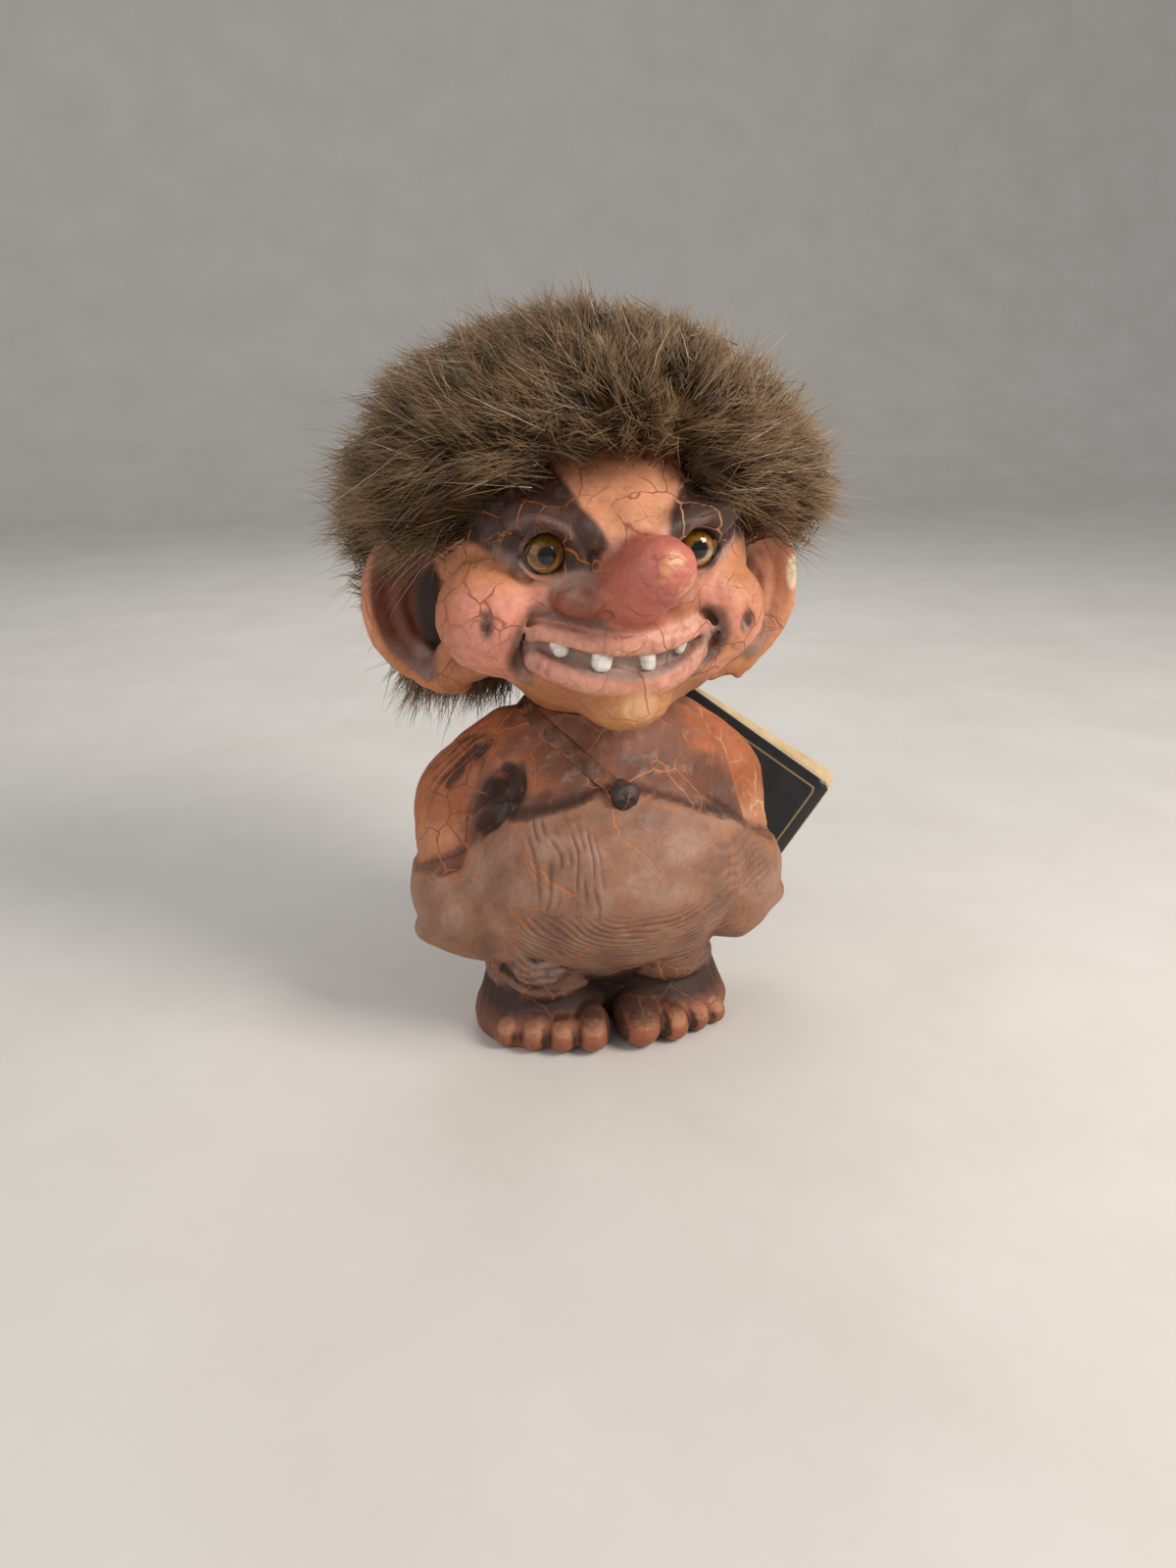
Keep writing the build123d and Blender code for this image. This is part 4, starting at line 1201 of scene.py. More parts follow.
enamel = cloudy_finish(
    "tooth_enamel", 1.6, (0.40, 0.68), ("f2ece4", "b9a8a0"), relief=(0.4, 0.0003), Roughness=0.28
)
tooth_parts = [with_caps(tooth_grid(*tooth), TOOTH_COLUMNS) for tooth in TEETH]
settle(add_mesh("tooth_row", *joined(tooth_parts)), enamel, ["teeth"])

# %% Eyes
EYE_RADIUS, EYE_COLUMNS = 4.0, 48
GLASS_BACK, DOME_FOOT, DOME_RISE = -24.75, -25.9, 3.3
IRIS_FRONT, IRIS_BACK = -24.66, -24.3


def turned(profile, axis_point):
    """A profile of radius and depth turned about a line along y."""
    radius, depth = np.array(profile, float).T
    angle = np.linspace(0, 2 * pi, EYE_COLUMNS, endpoint=False)[None, :]
    x = axis_point[0] + radius[:, None] * np.cos(angle)
    z = axis_point[2] + radius[:, None] * np.sin(angle)
    return np.stack([x, depth[:, None] + 0 * angle, z], axis=-1).reshape(-1, 3)


def make_eye(name, **values):
    """Amber with a dark pupil and an olive rim, from the stored distance to the eye's axis. A second
    channel says how far an eye is darkened by painted shade."""
    finish, wire, shader = new_finish(name, **values)
    away, shaded, _ = wire.channels("ring")
    amber = wire.tones(wire.span(clouds(wire, 0.9), 0.35, 0.65), "b87a1c", "7c5212")
    for share, tone in (
        (wire.span(away, 0.70, 0.95), "6e5420"),
        # Painted shade: the second channel darkens an eye.
        (shaded, "4a3812"),
        (wire.span(away, 0.93, 1.0), "2a1c0c"),
        (wire.span(away, 0.52, 0.40), "070504"),
    ):
        amber = wire.mix(share, amber, linear(tone))
    wire.set(shader["Base Color"], amber)
    return finish


turns = np.linspace(0.02, pi / 2, 14)
glass_profile = [(EYE_RADIUS * np.sin(turn), DOME_FOOT - DOME_RISE * np.cos(turn)) for turn in turns]
glass_profile += [(EYE_RADIUS, GLASS_BACK), (0.1, GLASS_BACK)]
iris_profile = [(radius, IRIS_FRONT) for radius in (0.08, *np.linspace(0.4, 3.9, 12))]
iris_profile += [(3.95, IRIS_BACK), (0.08, IRIS_BACK)]
glass_finish = make_eye("eye_glass", Roughness=0.04, IOR=1.45, Transmission_Weight=0.2, Coat_Weight=0.3)
iris_finish = make_eye("eye_iris", Roughness=0.3)
for label, side in SIDES.items():
    middle = EYES[side]
    for node, form, profile, finish, slot in (
        ("eye_glass", "dome", glass_profile, glass_finish, "eye_glass"),
        ("eye_iris", "disc", iris_profile, iris_finish, "iris_paint"),
    ):
        points, faces = with_caps(turned(profile, middle), EYE_COLUMNS)
        piece = add_mesh(f"{node}_{form}_{label}", points, faces)
        away = np.hypot(points[:, 0] - middle[0], points[:, 2] - middle[2]) / EYE_RADIUS
        # Painted shade: the left eye darkened, the right one not.
        shaded = np.full(len(away), 0.5 if side < 0 else 0.0)
        add_colour(piece, "ring", np.stack([away, shaded, away], axis=1))
        settle(piece, finish, [f"{node}_{label}"])

# %% [markdown]
# ## Strap and button
#
# One brace of the dungarees crosses the chest to a knotted button. The strap is a flat band: a rounded
# profile carried along a line on the body's own skin. The button is a ball with a spiral cord's worth of
# grooves wound over it.

# %% Strap and button
STRAP_TOP, BUTTON = np.array([-17.0, 76.2]), np.array([-1.2, 62.6])


def strap_band(width=3.6, thick=1.1, count=60, columns=20):
    """A flat rounded profile carried along a straight line in the front view, laid on the body's skin."""
    share = np.linspace(0, 1, count)[:, None]
    line = STRAP_TOP + (BUTTON - STRAP_TOP) * share
    run = unit(BUTTON - STRAP_TOP)
    beside = np.array([-run[1], run[0]])
    angle = np.linspace(0, 2 * pi, columns, endpoint=False)[None, :]
    across = squared(np.cos(angle), 0.45) * width / 2
    out = squared(np.sin(angle), 0.45) * thick
    x = (line[:, :1] + beside[0] * across).ravel()
    z = (line[:, 1:] + beside[1] * across).ravel()
    y = body_clay.front(x, z) + 0.25 - (out + 0 * share).ravel()
    points = np.stack([x, y, z], axis=1)
    points[:, 1] += 0.15 * ripple(points, 5, 51)
    return with_caps(points, columns)


def button_ball(radius=3.7, half=2.9, rows=40, columns=64):
    """A flattened ball whose radius dips along a spiral, as wound cord does."""
    v = np.linspace(0.06, pi - 0.06, rows)[:, None]
    u = np.linspace(0, 2 * pi, columns, endpoint=False)[None, :]
    wound = 1 - 0.10 * np.abs(np.cos(2.5 * v + 1.0 * np.sin(u) + u)) - 0.06 * np.cos(3 * u + 2 * v)
    x = radius * wound * np.sin(v) * np.cos(u)
    z = radius * wound * np.sin(v) * np.sin(u)
    y = -half * wound * np.cos(v)
    front = body_clay.front(BUTTON[:1], BUTTON[1:])[0]
    points = np.stack([x + BUTTON[0], y + front - 0.9, z + BUTTON[1]], axis=-1).reshape(-1, 3)
    return with_caps(points, columns)


def make_stain(name, light, dark, cover):
    """Dark stained relief, rubbed lighter in patches, with the casting's cracks running over it."""
    finish, wire, shader = new_finish(name)
    broad, small = clouds(wire, 3.0), clouds(wire, 0.9)
    colour = wire.tones(wire.span(broad, 0.36, 0.64), dark, light)
    line = place_group(wire, CRAZING, size=5.0, width=0.05, cover=cover)["Line"]
    wire.set(shader["Base Color"], wire.mix(wire.sum("MULTIPLY", line, 0.8), colour, linear(CRACK_ORANGE)))
    wire.set(shader["Roughness"], wire.span(small, 0.3, 0.7, 0.42, 0.66))
    wire.bump(shader, small, 0.5, 0.0004)
    return finish


strap_stain = make_stain("strap_stain", "80553e", "523629", 0.5)
button_stain = make_stain("button_stain", "4a3830", "1d1512", 0.55)
settle(add_mesh("strap_band", *strap_band()), strap_stain, ["shoulder_strap"])
settle(add_mesh("button_knot", *button_ball()), button_stain, ["strap_button"])

# %% [markdown]
# ## The wig
#
# The wig is long-pile fur, brushed out from the middle of the brow. A soft dark undercoat fills the depth,
# darkened like the fibres' roots with painted shade, and over it lie tens of thousands of fine fibres. A
# fibre is a slim three-sided spike, so that each costs only a few faces, and the fibres of a tuft start apart
# and draw together towards its tip. Their length is found from the outer shape of the CAD's fur, so the
# outline agrees with it.

# %% Undercoat
FUR_RINGS = [
    (NECK + 4, 35.0, 15.5, 18.5),
    (NECK + 14, 44.5, 27.0, 13.5),
    (NECK + 27, 51.5, 38.0, 9.5),
    (NECK + 39, 54.0, 42.0, 8.0),
    (NECK + 53, 52.0, 41.5, 7.0),
    (NECK + 67, 42.0, 35.0, 7.0),
    (NECK + 76.5, 27.0, 23.0, 7.0),
    (NECK + 82, 9.0, 8.0, 7.0),
]
FUR_DARK, FUR_LIGHT, FUR_GLINT = "49311f", "ae885c", "e0cfb2"
FUR_ROOT_SHADE, FUR_TIP = "1c130c", "b59a70"
INNER_FUR = stack([(NECK + 0.95 * (h - NECK), w - 5.0, d - 4.5, middle) for h, w, d, middle in FUR_RINGS])
HAIRLINE = np.array([(-60, 127), (-20, 126.5), (-13, 117), (-6, 112.5), (9, 110), (9.5, 82), (60, 82)])


def hairline(x, y):
    """The lowest height at which fur grows: arched over the brow, then past the temples and behind the
    ears."""
    arch = 4.5 * ramp(np.abs(x + 1.0), 18, 11) - 4.0 * ramp(x, 11, 16)
    over_tag = 4.5 * ramp(x, -7, 1) * ramp(y, 3, 9)
    return np.interp(y, HAIRLINE[:, 0], HAIRLINE[:, 1]) + arch * ramp(y, -8, -14) + over_tag


def make_undercoat():
    """The fur's outer shape drawn in by a few millimetres and cut along the hairline."""
    clay = Clay((-56, -38, 76), (56, 54, 162), 1.1)
    clay.add(INNER_FUR)
    trim(clay, 1.5)
    for side in (-1, 1):
        clay.cut(ear_plate(side, 13.0, 19.0, 4.0, 3.0), 1.0)
    points, faces = clay.skin()
    points += unit(clay.slope(points)) * (0.9 * ripple(points, 6, 61))[:, None]
    return points, faces


def make_cap():
    """The backing: the skull's shape grown a little and cut along the hairline."""
    clay = Clay((-36, -34, 78), (36, 44, 143), 0.9)
    clay.add(stack(HEAD_RINGS, grow=0.7))
    trim(clay, 0.4)
    return clay.skin()


def trim(clay, above):
    """Cuts clay away below the hairline, or a little above it."""
    x, y, z = np.meshgrid(*clay.axes, indexing="ij", sparse=True)
    clay.field = np.maximum(clay.field, (hairline(x, y) + above - z) * 0.8).astype(np.float32)


def make_fur(name, rough, shine):
    """Fibre colour from root to tip, the root darker as painted shade, each fibre's own shade and glint
    stored on it.
    """
    finish, wire, shader = new_finish(name, Roughness=rough, Specular_IOR_Level=shine)
    along, shade, glint = wire.channels("fibre")
    patches = wire.sum("SUBTRACT", clouds(wire, 14.0), 0.5)
    shade = wire.sum("MULTIPLY_ADD", patches, 0.9, shade, clamp=True)
    colour = wire.tones(shade, FUR_DARK, FUR_LIGHT)
    # Painted shade: the fibres darker towards their roots, deep in the pile.
    colour = wire.mix(wire.span(along, 0.0, 0.7, 0.75, 0.0), colour, linear(FUR_ROOT_SHADE))
    colour = wire.mix(wire.span(along, 0.6, 1.0, 0.0, 0.4), colour, linear(FUR_TIP))
    wire.set(shader["Base Color"], wire.mix(glint, colour, linear(FUR_GLINT)))
    return finish


fur_finish = make_fur("wig_fur", 0.42, 0.5)
coat_finish = make_fur("wig_undercoat", 0.95, 0.0)
coat_points, coat_faces = make_undercoat()
coat = add_mesh("wig_undercoat", coat_points, coat_faces)
coat_shade = ripple(coat_points, 5, 63) * 0.2 + 0.25
# At 0.25 along, the undercoat takes part of the roots' painted shade.
add_colour(coat, "fibre", np.stack([np.full(len(coat_shade), 0.25), coat_shade, 0 * coat_shade], axis=1))
settle(coat, coat_finish, ["wig_fur"])

# %% Tufts of fibres
SKULL, FUR, FUR_LIMIT = stack(HEAD_RINGS, grow=0.8), stack(FUR_RINGS), stack(FUR_RINGS, grow=1.5)
PARTING = np.array([2.0, -36.0, 134.0])
CLEAR_OF_TAG, WIG_OVERHANG = 84.5, 10.5
SIDES_OF_FIBRE, RING_SHARES = 3, np.array([0.0, 0.42, 0.78])


def halve(inside, count, limit=80.0):
    """How far along each of some lines the inside reaches, by halving the interval that holds its end."""
    low = np.zeros(count)
    high = np.full(count, limit)
    for _ in range(26):
        middle = (low + high) / 2
        kept = inside(middle[:, None])
        low = np.where(kept, middle, low)
        high = np.where(kept, high, middle)
    return low


def reach(form, starts, directions):
    """How far along each direction a form's surface lies."""
    return halve(lambda far: form.distance(*(starts + directions * far).T) < 0, len(starts))


def normal_of(form, points, step=0.3):
    """The outward normal of a form, from differences of its distance."""
    rises = [form.distance(*(points + s).T) - form.distance(*(points - s).T) for s in np.eye(3) * step]
    return unit(np.stack(rises, axis=1))


def grow_tufts(base, count, seed, lift, lean, lengths=None):
    """Roots spread evenly over a form, above the hairline. Each has a direction, the form's normal times
    lift and the brushed direction times lean, a length, by default to the fur's outer shape, and a
    droop."""
    draw = np.random.default_rng(seed)
    heart = np.array([0.0, 5.0, 112.0])
    aim = unit(draw.normal(size=(count * 3, 3)))
    roots = heart + aim * reach(base, np.tile(heart, (len(aim), 1)), aim)[:, None]
    roots = roots[roots[:, 2] > hairline(roots[:, 0], roots[:, 1]) + 0.6][:count]
    normals = normal_of(base, roots)
    away = roots - PARTING
    away = away * np.where(away[:, 2:] < 0, (1.5, 1.0, 0.45), (1.0, 1.0, 1.0))
    away = unit(away - normals * (away * normals).sum(1, keepdims=True))
    away = away * ramp(np.linalg.norm(roots - PARTING, axis=1), 4, 14)[:, None]
    locks = np.stack([ripple(roots, 9, seed + shift) for shift in (1, 2, 3)], axis=1)
    over_ear = ramp(roots[:, 1], 14, 8) * ramp(roots[:, 2], 124, 114)
    ways = normals * lift + away * (lean * (1 - 0.6 * over_ear))[:, None]
    ways = ways + locks * 0.42 + draw.normal(size=roots.shape) * 0.26 + over_ear[:, None] * (0.0, 0.15, 0.15)
    whirls = np.stack([ripple(roots, 22, seed + shift) for shift in (4, 5, 6)], axis=1)
    ways = ways + whirls * 0.30
    brow = ramp(roots[:, 1], -10, -18) * ramp(np.abs(roots[:, 0]), 16, 10)
    ways[:, 2] += brow * (np.maximum(ways[:, 2], 0.1) - ways[:, 2])
    ways = unit(ways)
    if lengths is None:
        sizes = reach(FUR, roots, ways) * draw.uniform(0.84, 1.18, len(roots)) * (1 + 0.10 * locks[:, 0])
    else:
        sizes = draw.uniform(*lengths, len(roots)) * (1 - 0.35 * over_ear)
    sizes = sizes * (1 - 0.16 * ramp(roots[:, 2], 124, 138))
    limit = reach(FUR_LIMIT, roots, ways) * draw.uniform(0.88, 1.06, len(roots))
    sizes = np.minimum(sizes, limit + draw.uniform(0, 3, len(roots)))
    droop = draw.normal(size=roots.shape) * 0.10
    droop[:, 2] += -0.04 - 0.22 * ramp(roots[:, 2], 122, 104) * (1 - over_ear)
    return roots, ways, np.clip(sizes, 5, 34), droop


def fibres(tufts, per_tuft, seed, spread=2.0, thick=0.122, pale=0.014, stretch=(0.78, 1.06)):
    """Spikes along curves that start round a tuft's root and draw together: root + length (t way + t²
    droop). Those that would hang into the tag's travel or reach far past the CAD's box are drawn
    shorter."""
    draw = np.random.default_rng(seed)
    roots, ways, lengths, droop = (np.repeat(part, per_tuft, axis=0) for part in tufts)
    count = len(roots)
    offset = draw.normal(size=(count, 3)) * spread
    offset -= ways * (offset * ways).sum(1, keepdims=True) * 0.7
    lengths = lengths * draw.uniform(*stretch, count)
    stray = draw.normal(size=(count, 3)) * 0.14
    side = unit(np.cross(ways, draw.normal(size=(count, 3))))
    other = np.cross(ways, side)
    wave = draw.uniform(-1, 1, count) * 0.05
    shares = np.append(RING_SHARES, 1.0)[None, :, None]
    path = ways[:, None] * shares + (droop + stray)[:, None] * shares**2
    path = path + side[:, None] * (wave[:, None, None] * np.sin(shares * 5.0))
    centres = roots[:, None] + lengths[:, None, None] * path + offset[:, None] * (1 - 0.85 * shares)
    fall = np.maximum(roots[:, 2] - centres[..., 2].min(axis=1), 0.1)
    over_tag = (roots[:, 0] > -3) & (roots[:, 1] > 2)
    share = np.where(over_tag, np.clip((roots[:, 2] - CLEAR_OF_TAG) / fall, 0.1, 1), 1)
    low, high = np.array(cad_box) / MM
    ends = centres[:, -1] - roots
    room = np.where(ends > 0, high - roots, roots - low) + WIG_OVERHANG
    share = np.minimum(share, np.clip((room / np.maximum(np.abs(ends), 0.1)).min(axis=1), 0.1, 1))
    centres = roots[:, None] + (centres - roots[:, None]) * share[:, None, None]
    width = thick * draw.uniform(0.7, 1.25, count)[:, None, None] * (1.05 - RING_SHARES[None, :, None]) ** 0.6
    angle = np.arange(SIDES_OF_FIBRE) * 2 * pi / SIDES_OF_FIBRE
    round_way = side[:, None] * np.cos(angle)[None, :, None] + other[:, None] * np.sin(angle)[None, :, None]
    rings = centres[:, :-1, None] + round_way[:, None] * width[..., None]
    points = np.concatenate([rings.reshape(count, -1, 3), centres[:, -1:]], axis=1)
    shade = np.clip(draw.normal(0.46, 0.24, count), 0, 1)
    glint = (draw.uniform(size=count) < pale) * draw.uniform(0.4, 1.0, count)
    root_to_tip = np.append(np.repeat(RING_SHARES, SIDES_OF_FIBRE), 1.0)
    shade = shade[:, None] + 0.25 * (root_to_tip - 0.5)[None, :]
    return points, np.stack(np.broadcast_arrays(root_to_tip[None, :], shade, glint[:, None]), axis=-1)


def fibre_faces(count):
    """The triangles of one spike, repeated: its walls, its tip and its foot."""
    rings = len(RING_SHARES)
    walls = grid_faces(rings, SIDES_OF_FIBRE)
    tip = rings * SIDES_OF_FIBRE
    last = np.arange(tip - SIDES_OF_FIBRE, tip)
    cap = np.stack([last, np.roll(last, -1), np.full(SIDES_OF_FIBRE, tip)], axis=1)
    foot = np.arange(SIDES_OF_FIBRE)[::-1][None, :]
    one = np.vstack([walls[:, [0, 1, 2]], walls[:, [0, 2, 3]], cap, foot])
    steps = np.arange(count)[:, None, None] * (tip + 1)
    return (one[None] + steps).reshape(-1, 3)


def add_fibres(name, tufts, per_tuft, seed, **ways):
    """One region of the wig as a piece."""
    points, colour = fibres(tufts, per_tuft, seed, **ways)
    piece = add_mesh(name, points.reshape(-1, 3), fibre_faces(len(points)))
    add_colour(piece, "fibre", colour.reshape(-1, 3))
    return settle(piece, fur_finish)


PER_TUFT, LOW_TUFTS = 17, 190
spikes = grow_tufts(SKULL, 1900, 71, 1.0, 0.40)
lying = grow_tufts(INNER_FUR, 2300, 72, 0.40, 1.0, (11, 21))
tufts = [np.concatenate(parts) for parts in zip(spikes, lying)]
x, y, z = tufts[0].T
regions = np.select(
    [
        (z > 141) & (x < 0), z > 141, (y < -12) & (x < 0), y < -12, (y > 24) & (z < 108),
        (y > 20) & (x < 0), y > 20, (x < 0) & (z > 120), x < 0, z > 120,
    ],
    [
        "crown_left", "crown_right", "fringe_left", "fringe_right", "nape",
        "back_left", "back_right", "left_high", "left_low", "right_high",
    ],
    "right_low",
)
for number, region in enumerate(np.unique(regions)):
    chosen = np.flatnonzero(regions == region)
    print(region, len(chosen), "tufts")
    add_fibres(f"wig_{region}", [part[chosen] for part in tufts], PER_TUFT, 80 + number)
draw = np.random.default_rng(90)
low_roots = draw.uniform((-37, 15, 82), (-13, 27, 90), (LOW_TUFTS, 3))
low_ways = unit(draw.normal((-0.35, 0.0, -1.0), 0.25, (LOW_TUFTS, 3)))
low_tufts = low_roots, low_ways, draw.uniform(9, 17, LOW_TUFTS), draw.normal(0, 0.12, (LOW_TUFTS, 3))
add_fibres("wig_low_tuft", low_tufts, PER_TUFT, 91)
strays = [part[np.linalg.norm(tufts[0] - PARTING, axis=1) > 14][::4] for part in tufts]
add_fibres("wig_strays", strays, 3, 95, spread=2.5, thick=0.09, pale=0.45, stretch=(1.04, 1.36))

# %% [markdown]
# ## The booklet tag
#
# The tag is a small stapled booklet of black card covers and cream leaves, punched near the fold. A sheet
# with a hole is a ring-shaped grid: its edge lines run from the hole to the outline, over the edge, back
# below and up through the hole. Its place comes from the joints: the swing's axis passes through the hole,
# and the fold is the cover's hinge.

# %% Tag sheets
joints = {joint["name"]: joint for joint in frame["record"]["behaviour"]["joints"]}
TAG_FRONT = np.array(joints["tag_swing"]["axis"])
TAG_UP = np.array(joints["cover_open"]["axis"])
TAG_ALONG = np.cross(TAG_UP, TAG_FRONT)
TAG_DEPTH, TAG_LENGTH, TAG_HEIGHT = 3.15, 56.0, 42.0
TAG_CORNER = np.array(joints["cover_open"]["pos_m"]) / MM + TAG_FRONT * TAG_DEPTH / 2
HOLE_ALONG, HOLE_DOWN, HOLE_RADIUS = 16.4, 4.5, 1.4


def sheet_outline(inset, count=160, start=0.45, corner=1.5):
    """A rectangle with two rounded outer corners, as points at even angles round the punched hole."""
    angle = np.linspace(0, 2 * pi, count, endpoint=False)
    ways = np.stack([np.cos(angle), np.sin(angle)], axis=1)
    low = np.array([start, -TAG_HEIGHT + inset])
    high = np.array([TAG_LENGTH - inset, -inset])

    def inside(points):
        spot = np.clip(points, low + (0, corner), high - corner)
        away = np.linalg.norm(points - spot, axis=1)
        within = ((points > low) & (points < high)).all(axis=1)
        return np.where(points[:, 0] < high[0] - corner, within, away < corner)

    hole = np.array([HOLE_ALONG, -HOLE_DOWN])
    edge = halve(lambda far: inside(hole + ways * far), count)
    return hole + ways * HOLE_RADIUS, hole + ways * edge[:, None]


def tag_sheet(front, thick, inset, skew=0.0):
    """A closed sheet: rows run from the hole to the edge, round it with a small radius, and back. A skew
    lifts its outer end, as in a booklet whose leaves have slipped against its cover."""
    hole, edge = sheet_outline(inset)
    soft = min(thick, 0.5) * 0.3
    outward = np.concatenate([[0], np.linspace(0.02, 0.995, 12), [1.0]])
    shares = np.concatenate([outward, outward[::-1]])
    top = np.concatenate([[soft], np.zeros(len(outward) - 2), [soft]])
    depths = np.concatenate([top, thick - top])
    flat = hole[None] + (edge - hole)[None] * shares[:, None, None]
    depth = front + depths[:, None, None]
    rise = flat[..., 1:] + skew * flat[..., :1] / TAG_LENGTH
    points = TAG_CORNER + flat[..., :1] * TAG_ALONG + rise * TAG_UP - depth * TAG_FRONT
    faces = grid_faces(len(shares), hole.shape[0], closed_rows=True)
    return points.reshape(-1, 3), faces


def make_card():
    """Black laminated card, rubbed pale along its edges, with a plain thin border line."""
    finish, wire, shader = new_finish("tag_card", Coat_Weight=0.25, Coat_Roughness=0.35)
    edge = wire.channels("sheet")[0]
    broad, fine = clouds(wire, 6.0), clouds(wire, 0.5)
    colour = wire.tones(wire.span(broad, 0.35, 0.7), "0f0d0c", "1e1a17")
    line = wire.span(wire.sum("ABSOLUTE", wire.sum("SUBTRACT", edge, 0.30)), 0.018, 0.030, 1.0, 0.0)
    colour = wire.mix(wire.sum("MULTIPLY", line, 0.55), colour, linear("b89a68"))
    worn = wire.sum("MULTIPLY", wire.span(edge, 0.035, 0.005), wire.span(fine, 0.3, 0.6, 0.35, 1.0))
    wire.set(shader["Base Color"], wire.mix(worn, colour, linear("c9b08a")))
    wire.set(shader["Roughness"], wire.span(broad, 0.3, 0.7, 0.30, 0.48))
    wire.bump(shader, fine, 0.2, 0.0001)
    return finish


def edge_distance(points):
    """How far points of the tag lie inside its outline, as a share of 10 mm, for the border and the
    wear."""
    local = points - TAG_CORNER
    along = local @ TAG_ALONG
    down = -(local @ TAG_UP)
    inner = np.minimum.reduce([along, TAG_LENGTH - along, down, TAG_HEIGHT - down])
    return np.clip(inner / 10, 0, 1)


card = make_card()
paper = cloudy_finish(
    "tag_paper", 5.0, (0.3, 0.7), ("e6d2ab", "cdb183"), relief=(0.25, 0.0001), grain=0.35, Roughness=0.85
)
LEAVES, LEAF_ROOM, CARD = 6, 1.0, 0.5
for name, front, body in (("tag_front_cover", 0.0, "tag_front"), ("tag_back_cover", 2.65, "tag_back")):
    points, faces = tag_sheet(front, CARD, 0.0)
    piece = add_mesh(name + "_card", points, faces)
    add_colour(piece, "sheet", np.repeat(edge_distance(points)[:, None], 3, axis=1))
    settle(piece, card, [name], body)
for name, front, body in (("tag_front_leaves", 0.55, "tag_front"), ("tag_back_leaves", 1.60, "tag_leaf")):
    pitch = LEAF_ROOM / LEAVES
    skew = 1.0 if body == "tag_front" else 2.2
    sheets = [tag_sheet(front + i * pitch + 0.01, pitch * 0.72, 0.10, skew + 0.2 * i) for i in range(LEAVES)]
    settle(add_mesh(name + "_pages", *joined(sheets)), paper, [name], body)

# %% [markdown]
# ## Finishes for the pieces that stay
#
# Some CAD solids already have the right shape: the plug under the soles, the eyes' wire stems and the
# staples. They only need a finish. The wig's cloth backing is cut again along the arched hairline, so that
# none of it shows.

# %% Plug, backing and wire


def make_backing():
    """Woven cloth: two crossing waves."""
    finish, wire, shader = new_finish("wig_cloth", Roughness=0.9)
    place = {"Vector": wire.add("TexCoord").outputs["Object"], "Scale": 420.0}
    threads = [wire.add("TexWave", place, bands_direction=axis).outputs["Fac"] for axis in "XZ"]
    weave = wire.sum("MULTIPLY", *threads)
    wire.set(shader["Base Color"], wire.tones(weave, "2e2419", "4d3f2d"))
    wire.bump(shader, weave, 0.5, 0.0002)
    return finish


settle(add_mesh("wig_cap", *make_cap()), make_backing(), ["wig_backing"])
plug = cloudy_finish("plug_rubber", 2.5, (0.4, 0.7), ("2a221d", "5a4a3e"), rough=(0.6, 0.85))
steel = cloudy_finish("drawn_wire", 0.6, (0.35, 0.7), ("b4b2ae", "7c7872"), rough=(0.25, 0.45), Metallic=1.0)
kept = {"base_plug": plug, "eye_stem_left": steel, "eye_stem_right": steel, "tag_staples": steel}
for node, finish in kept.items():
    slots = frame["nodes"][node].data.materials
    slots.clear()
    slots.append(finish)
print("kept nodes:", ", ".join(kept))

# %% [markdown]
# ## Camera, light and floor
#
# The camera stands a little to the left of the figure and above it, as in the photograph. A large soft lamp
# stands high at the right, a weaker one fills from the left, a third lights the back, and the world adds an
# even grey. The floor bends up into a backdrop behind the figure.

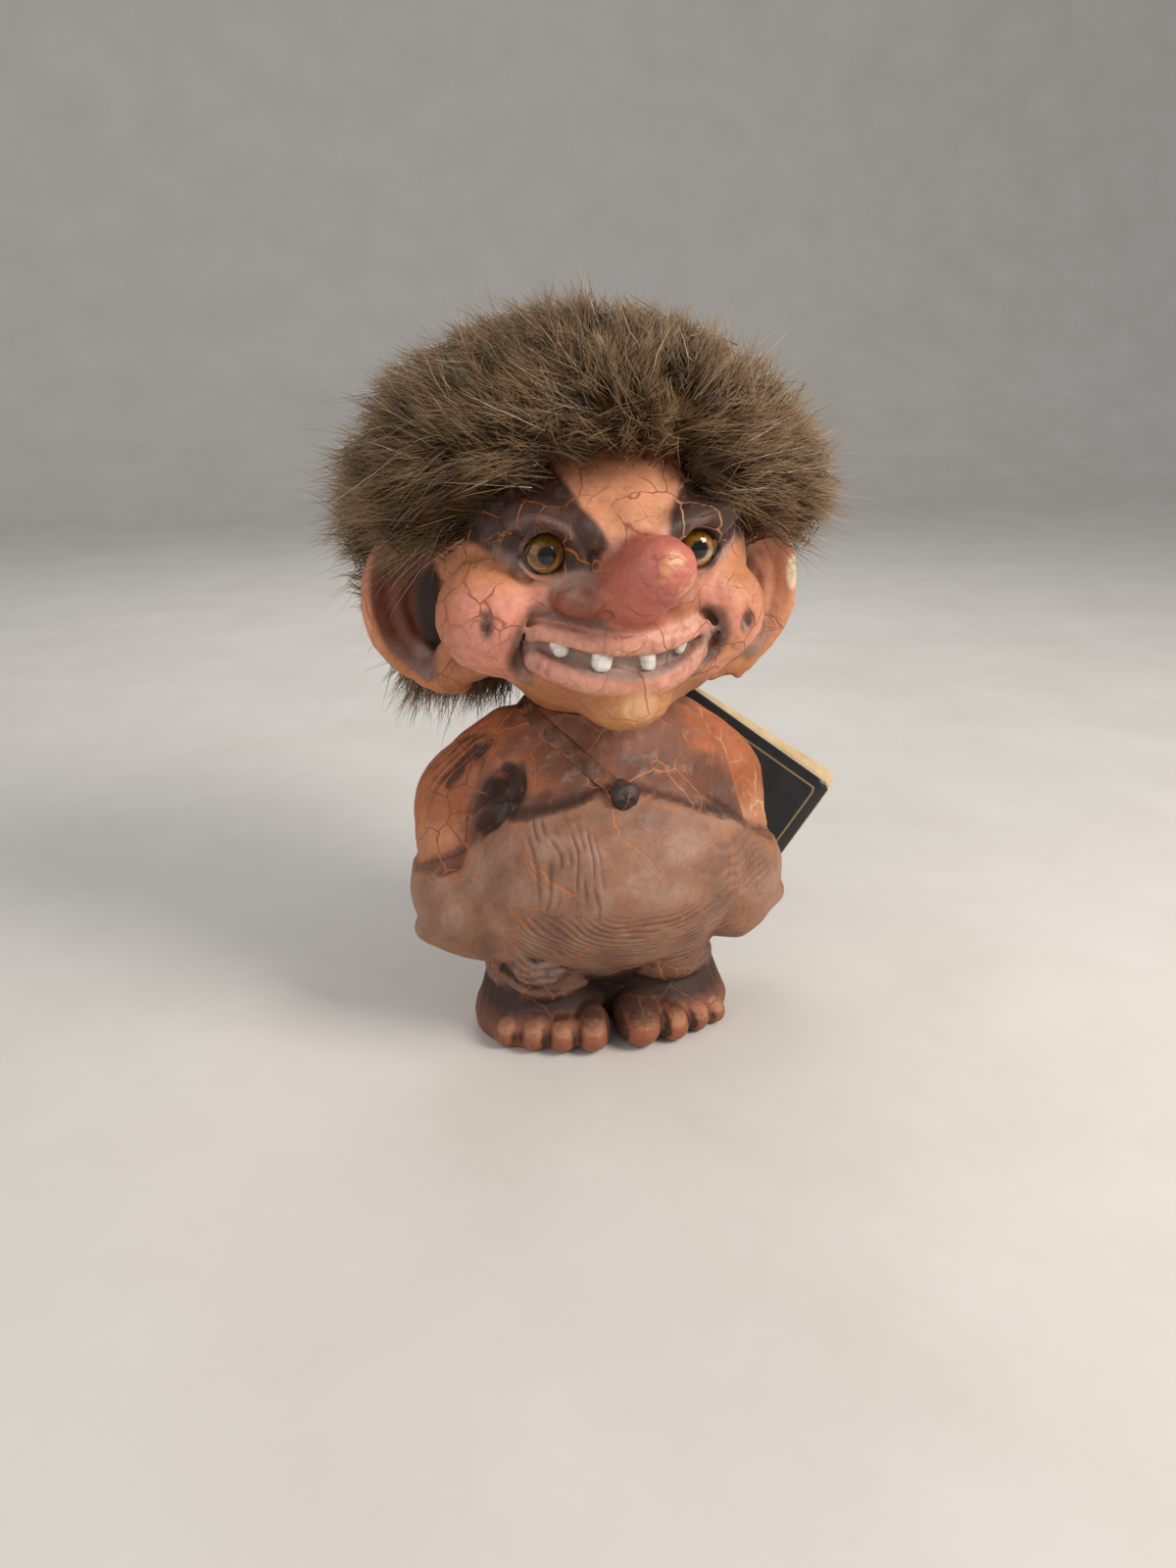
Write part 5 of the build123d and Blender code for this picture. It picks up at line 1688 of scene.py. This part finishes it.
# %% Stage
SENSOR, AIM = 36.0, np.array([0, 0, 0.08])
LAMPS = [
    ("key", (0.40, -0.36, 0.46), 0.26, 3.5, (1.0, 0.94, 0.87)),
    ("fill", (-0.50, -0.30, 0.30), 0.50, 0.9, (1.0, 0.97, 0.94)),
    ("back", (0.05, 0.50, 0.50), 0.40, 1.0, (1.0, 0.98, 0.96)),
]
camera_data = bpy.data.cameras.new("camera")
camera_data.sensor_width = SENSOR
camera_data.lens = SENSOR * 1204 / 1600
camera = bpy.data.objects.new("camera", camera_data)
camera.location = (-0.0639, -0.2500, 0.1490)
camera.rotation_euler = (radians(70), 0, radians(-14))
bpy.context.scene.collection.objects.link(camera)
bpy.context.scene.camera = camera
for name, place, size, power, colour in LAMPS:
    lamp = bpy.data.lights.new(name, "AREA")
    lamp.size, lamp.energy, lamp.color = size, power, colour
    holder = bpy.data.objects.new(name, lamp)
    holder.location = place
    toward = AIM - place
    tilt = np.arctan2(np.hypot(*toward[:2]), -toward[2])
    holder.rotation_euler = (tilt, 0, np.arctan2(toward[0], -toward[1]) + pi)
    bpy.context.scene.collection.objects.link(holder)


def backdrop(half=1.6, back=0.9, rise=1.4, curve=0.5):
    """A flat floor, a quarter circle and a wall, as one profile carried sideways."""
    angle = np.linspace(0, pi / 2, 16)
    rounded = [(back + curve * np.sin(a), curve - curve * np.cos(a)) for a in angle]
    profile = [(-1.4, 0.0), *rounded, (back + curve, rise)]
    y, z = np.array(profile).T
    x = np.array([-half, half])
    points = np.stack(np.broadcast_arrays(x[None, :], y[:, None], z[:, None]), axis=-1).reshape(-1, 3) / MM
    return points, grid_faces(len(profile), 2, closed_columns=False)


floor = add_mesh("floor", *backdrop())
floor.data.materials.append(
    cloudy_finish("floor_paint", 60.0, (0.3, 0.7), ("e4e0da", "dbd6cf"), Roughness=0.8)
)

world = bpy.context.scene.world or bpy.data.worlds.new("world")
bpy.context.scene.world = world
world.use_nodes = True
background = world.node_tree.nodes["Background"].inputs
background["Color"].default_value = (0.95, 0.97, 1.0, 1)
background["Strength"].default_value = 0.36
bpy.context.scene.view_settings.view_transform = "Standard"
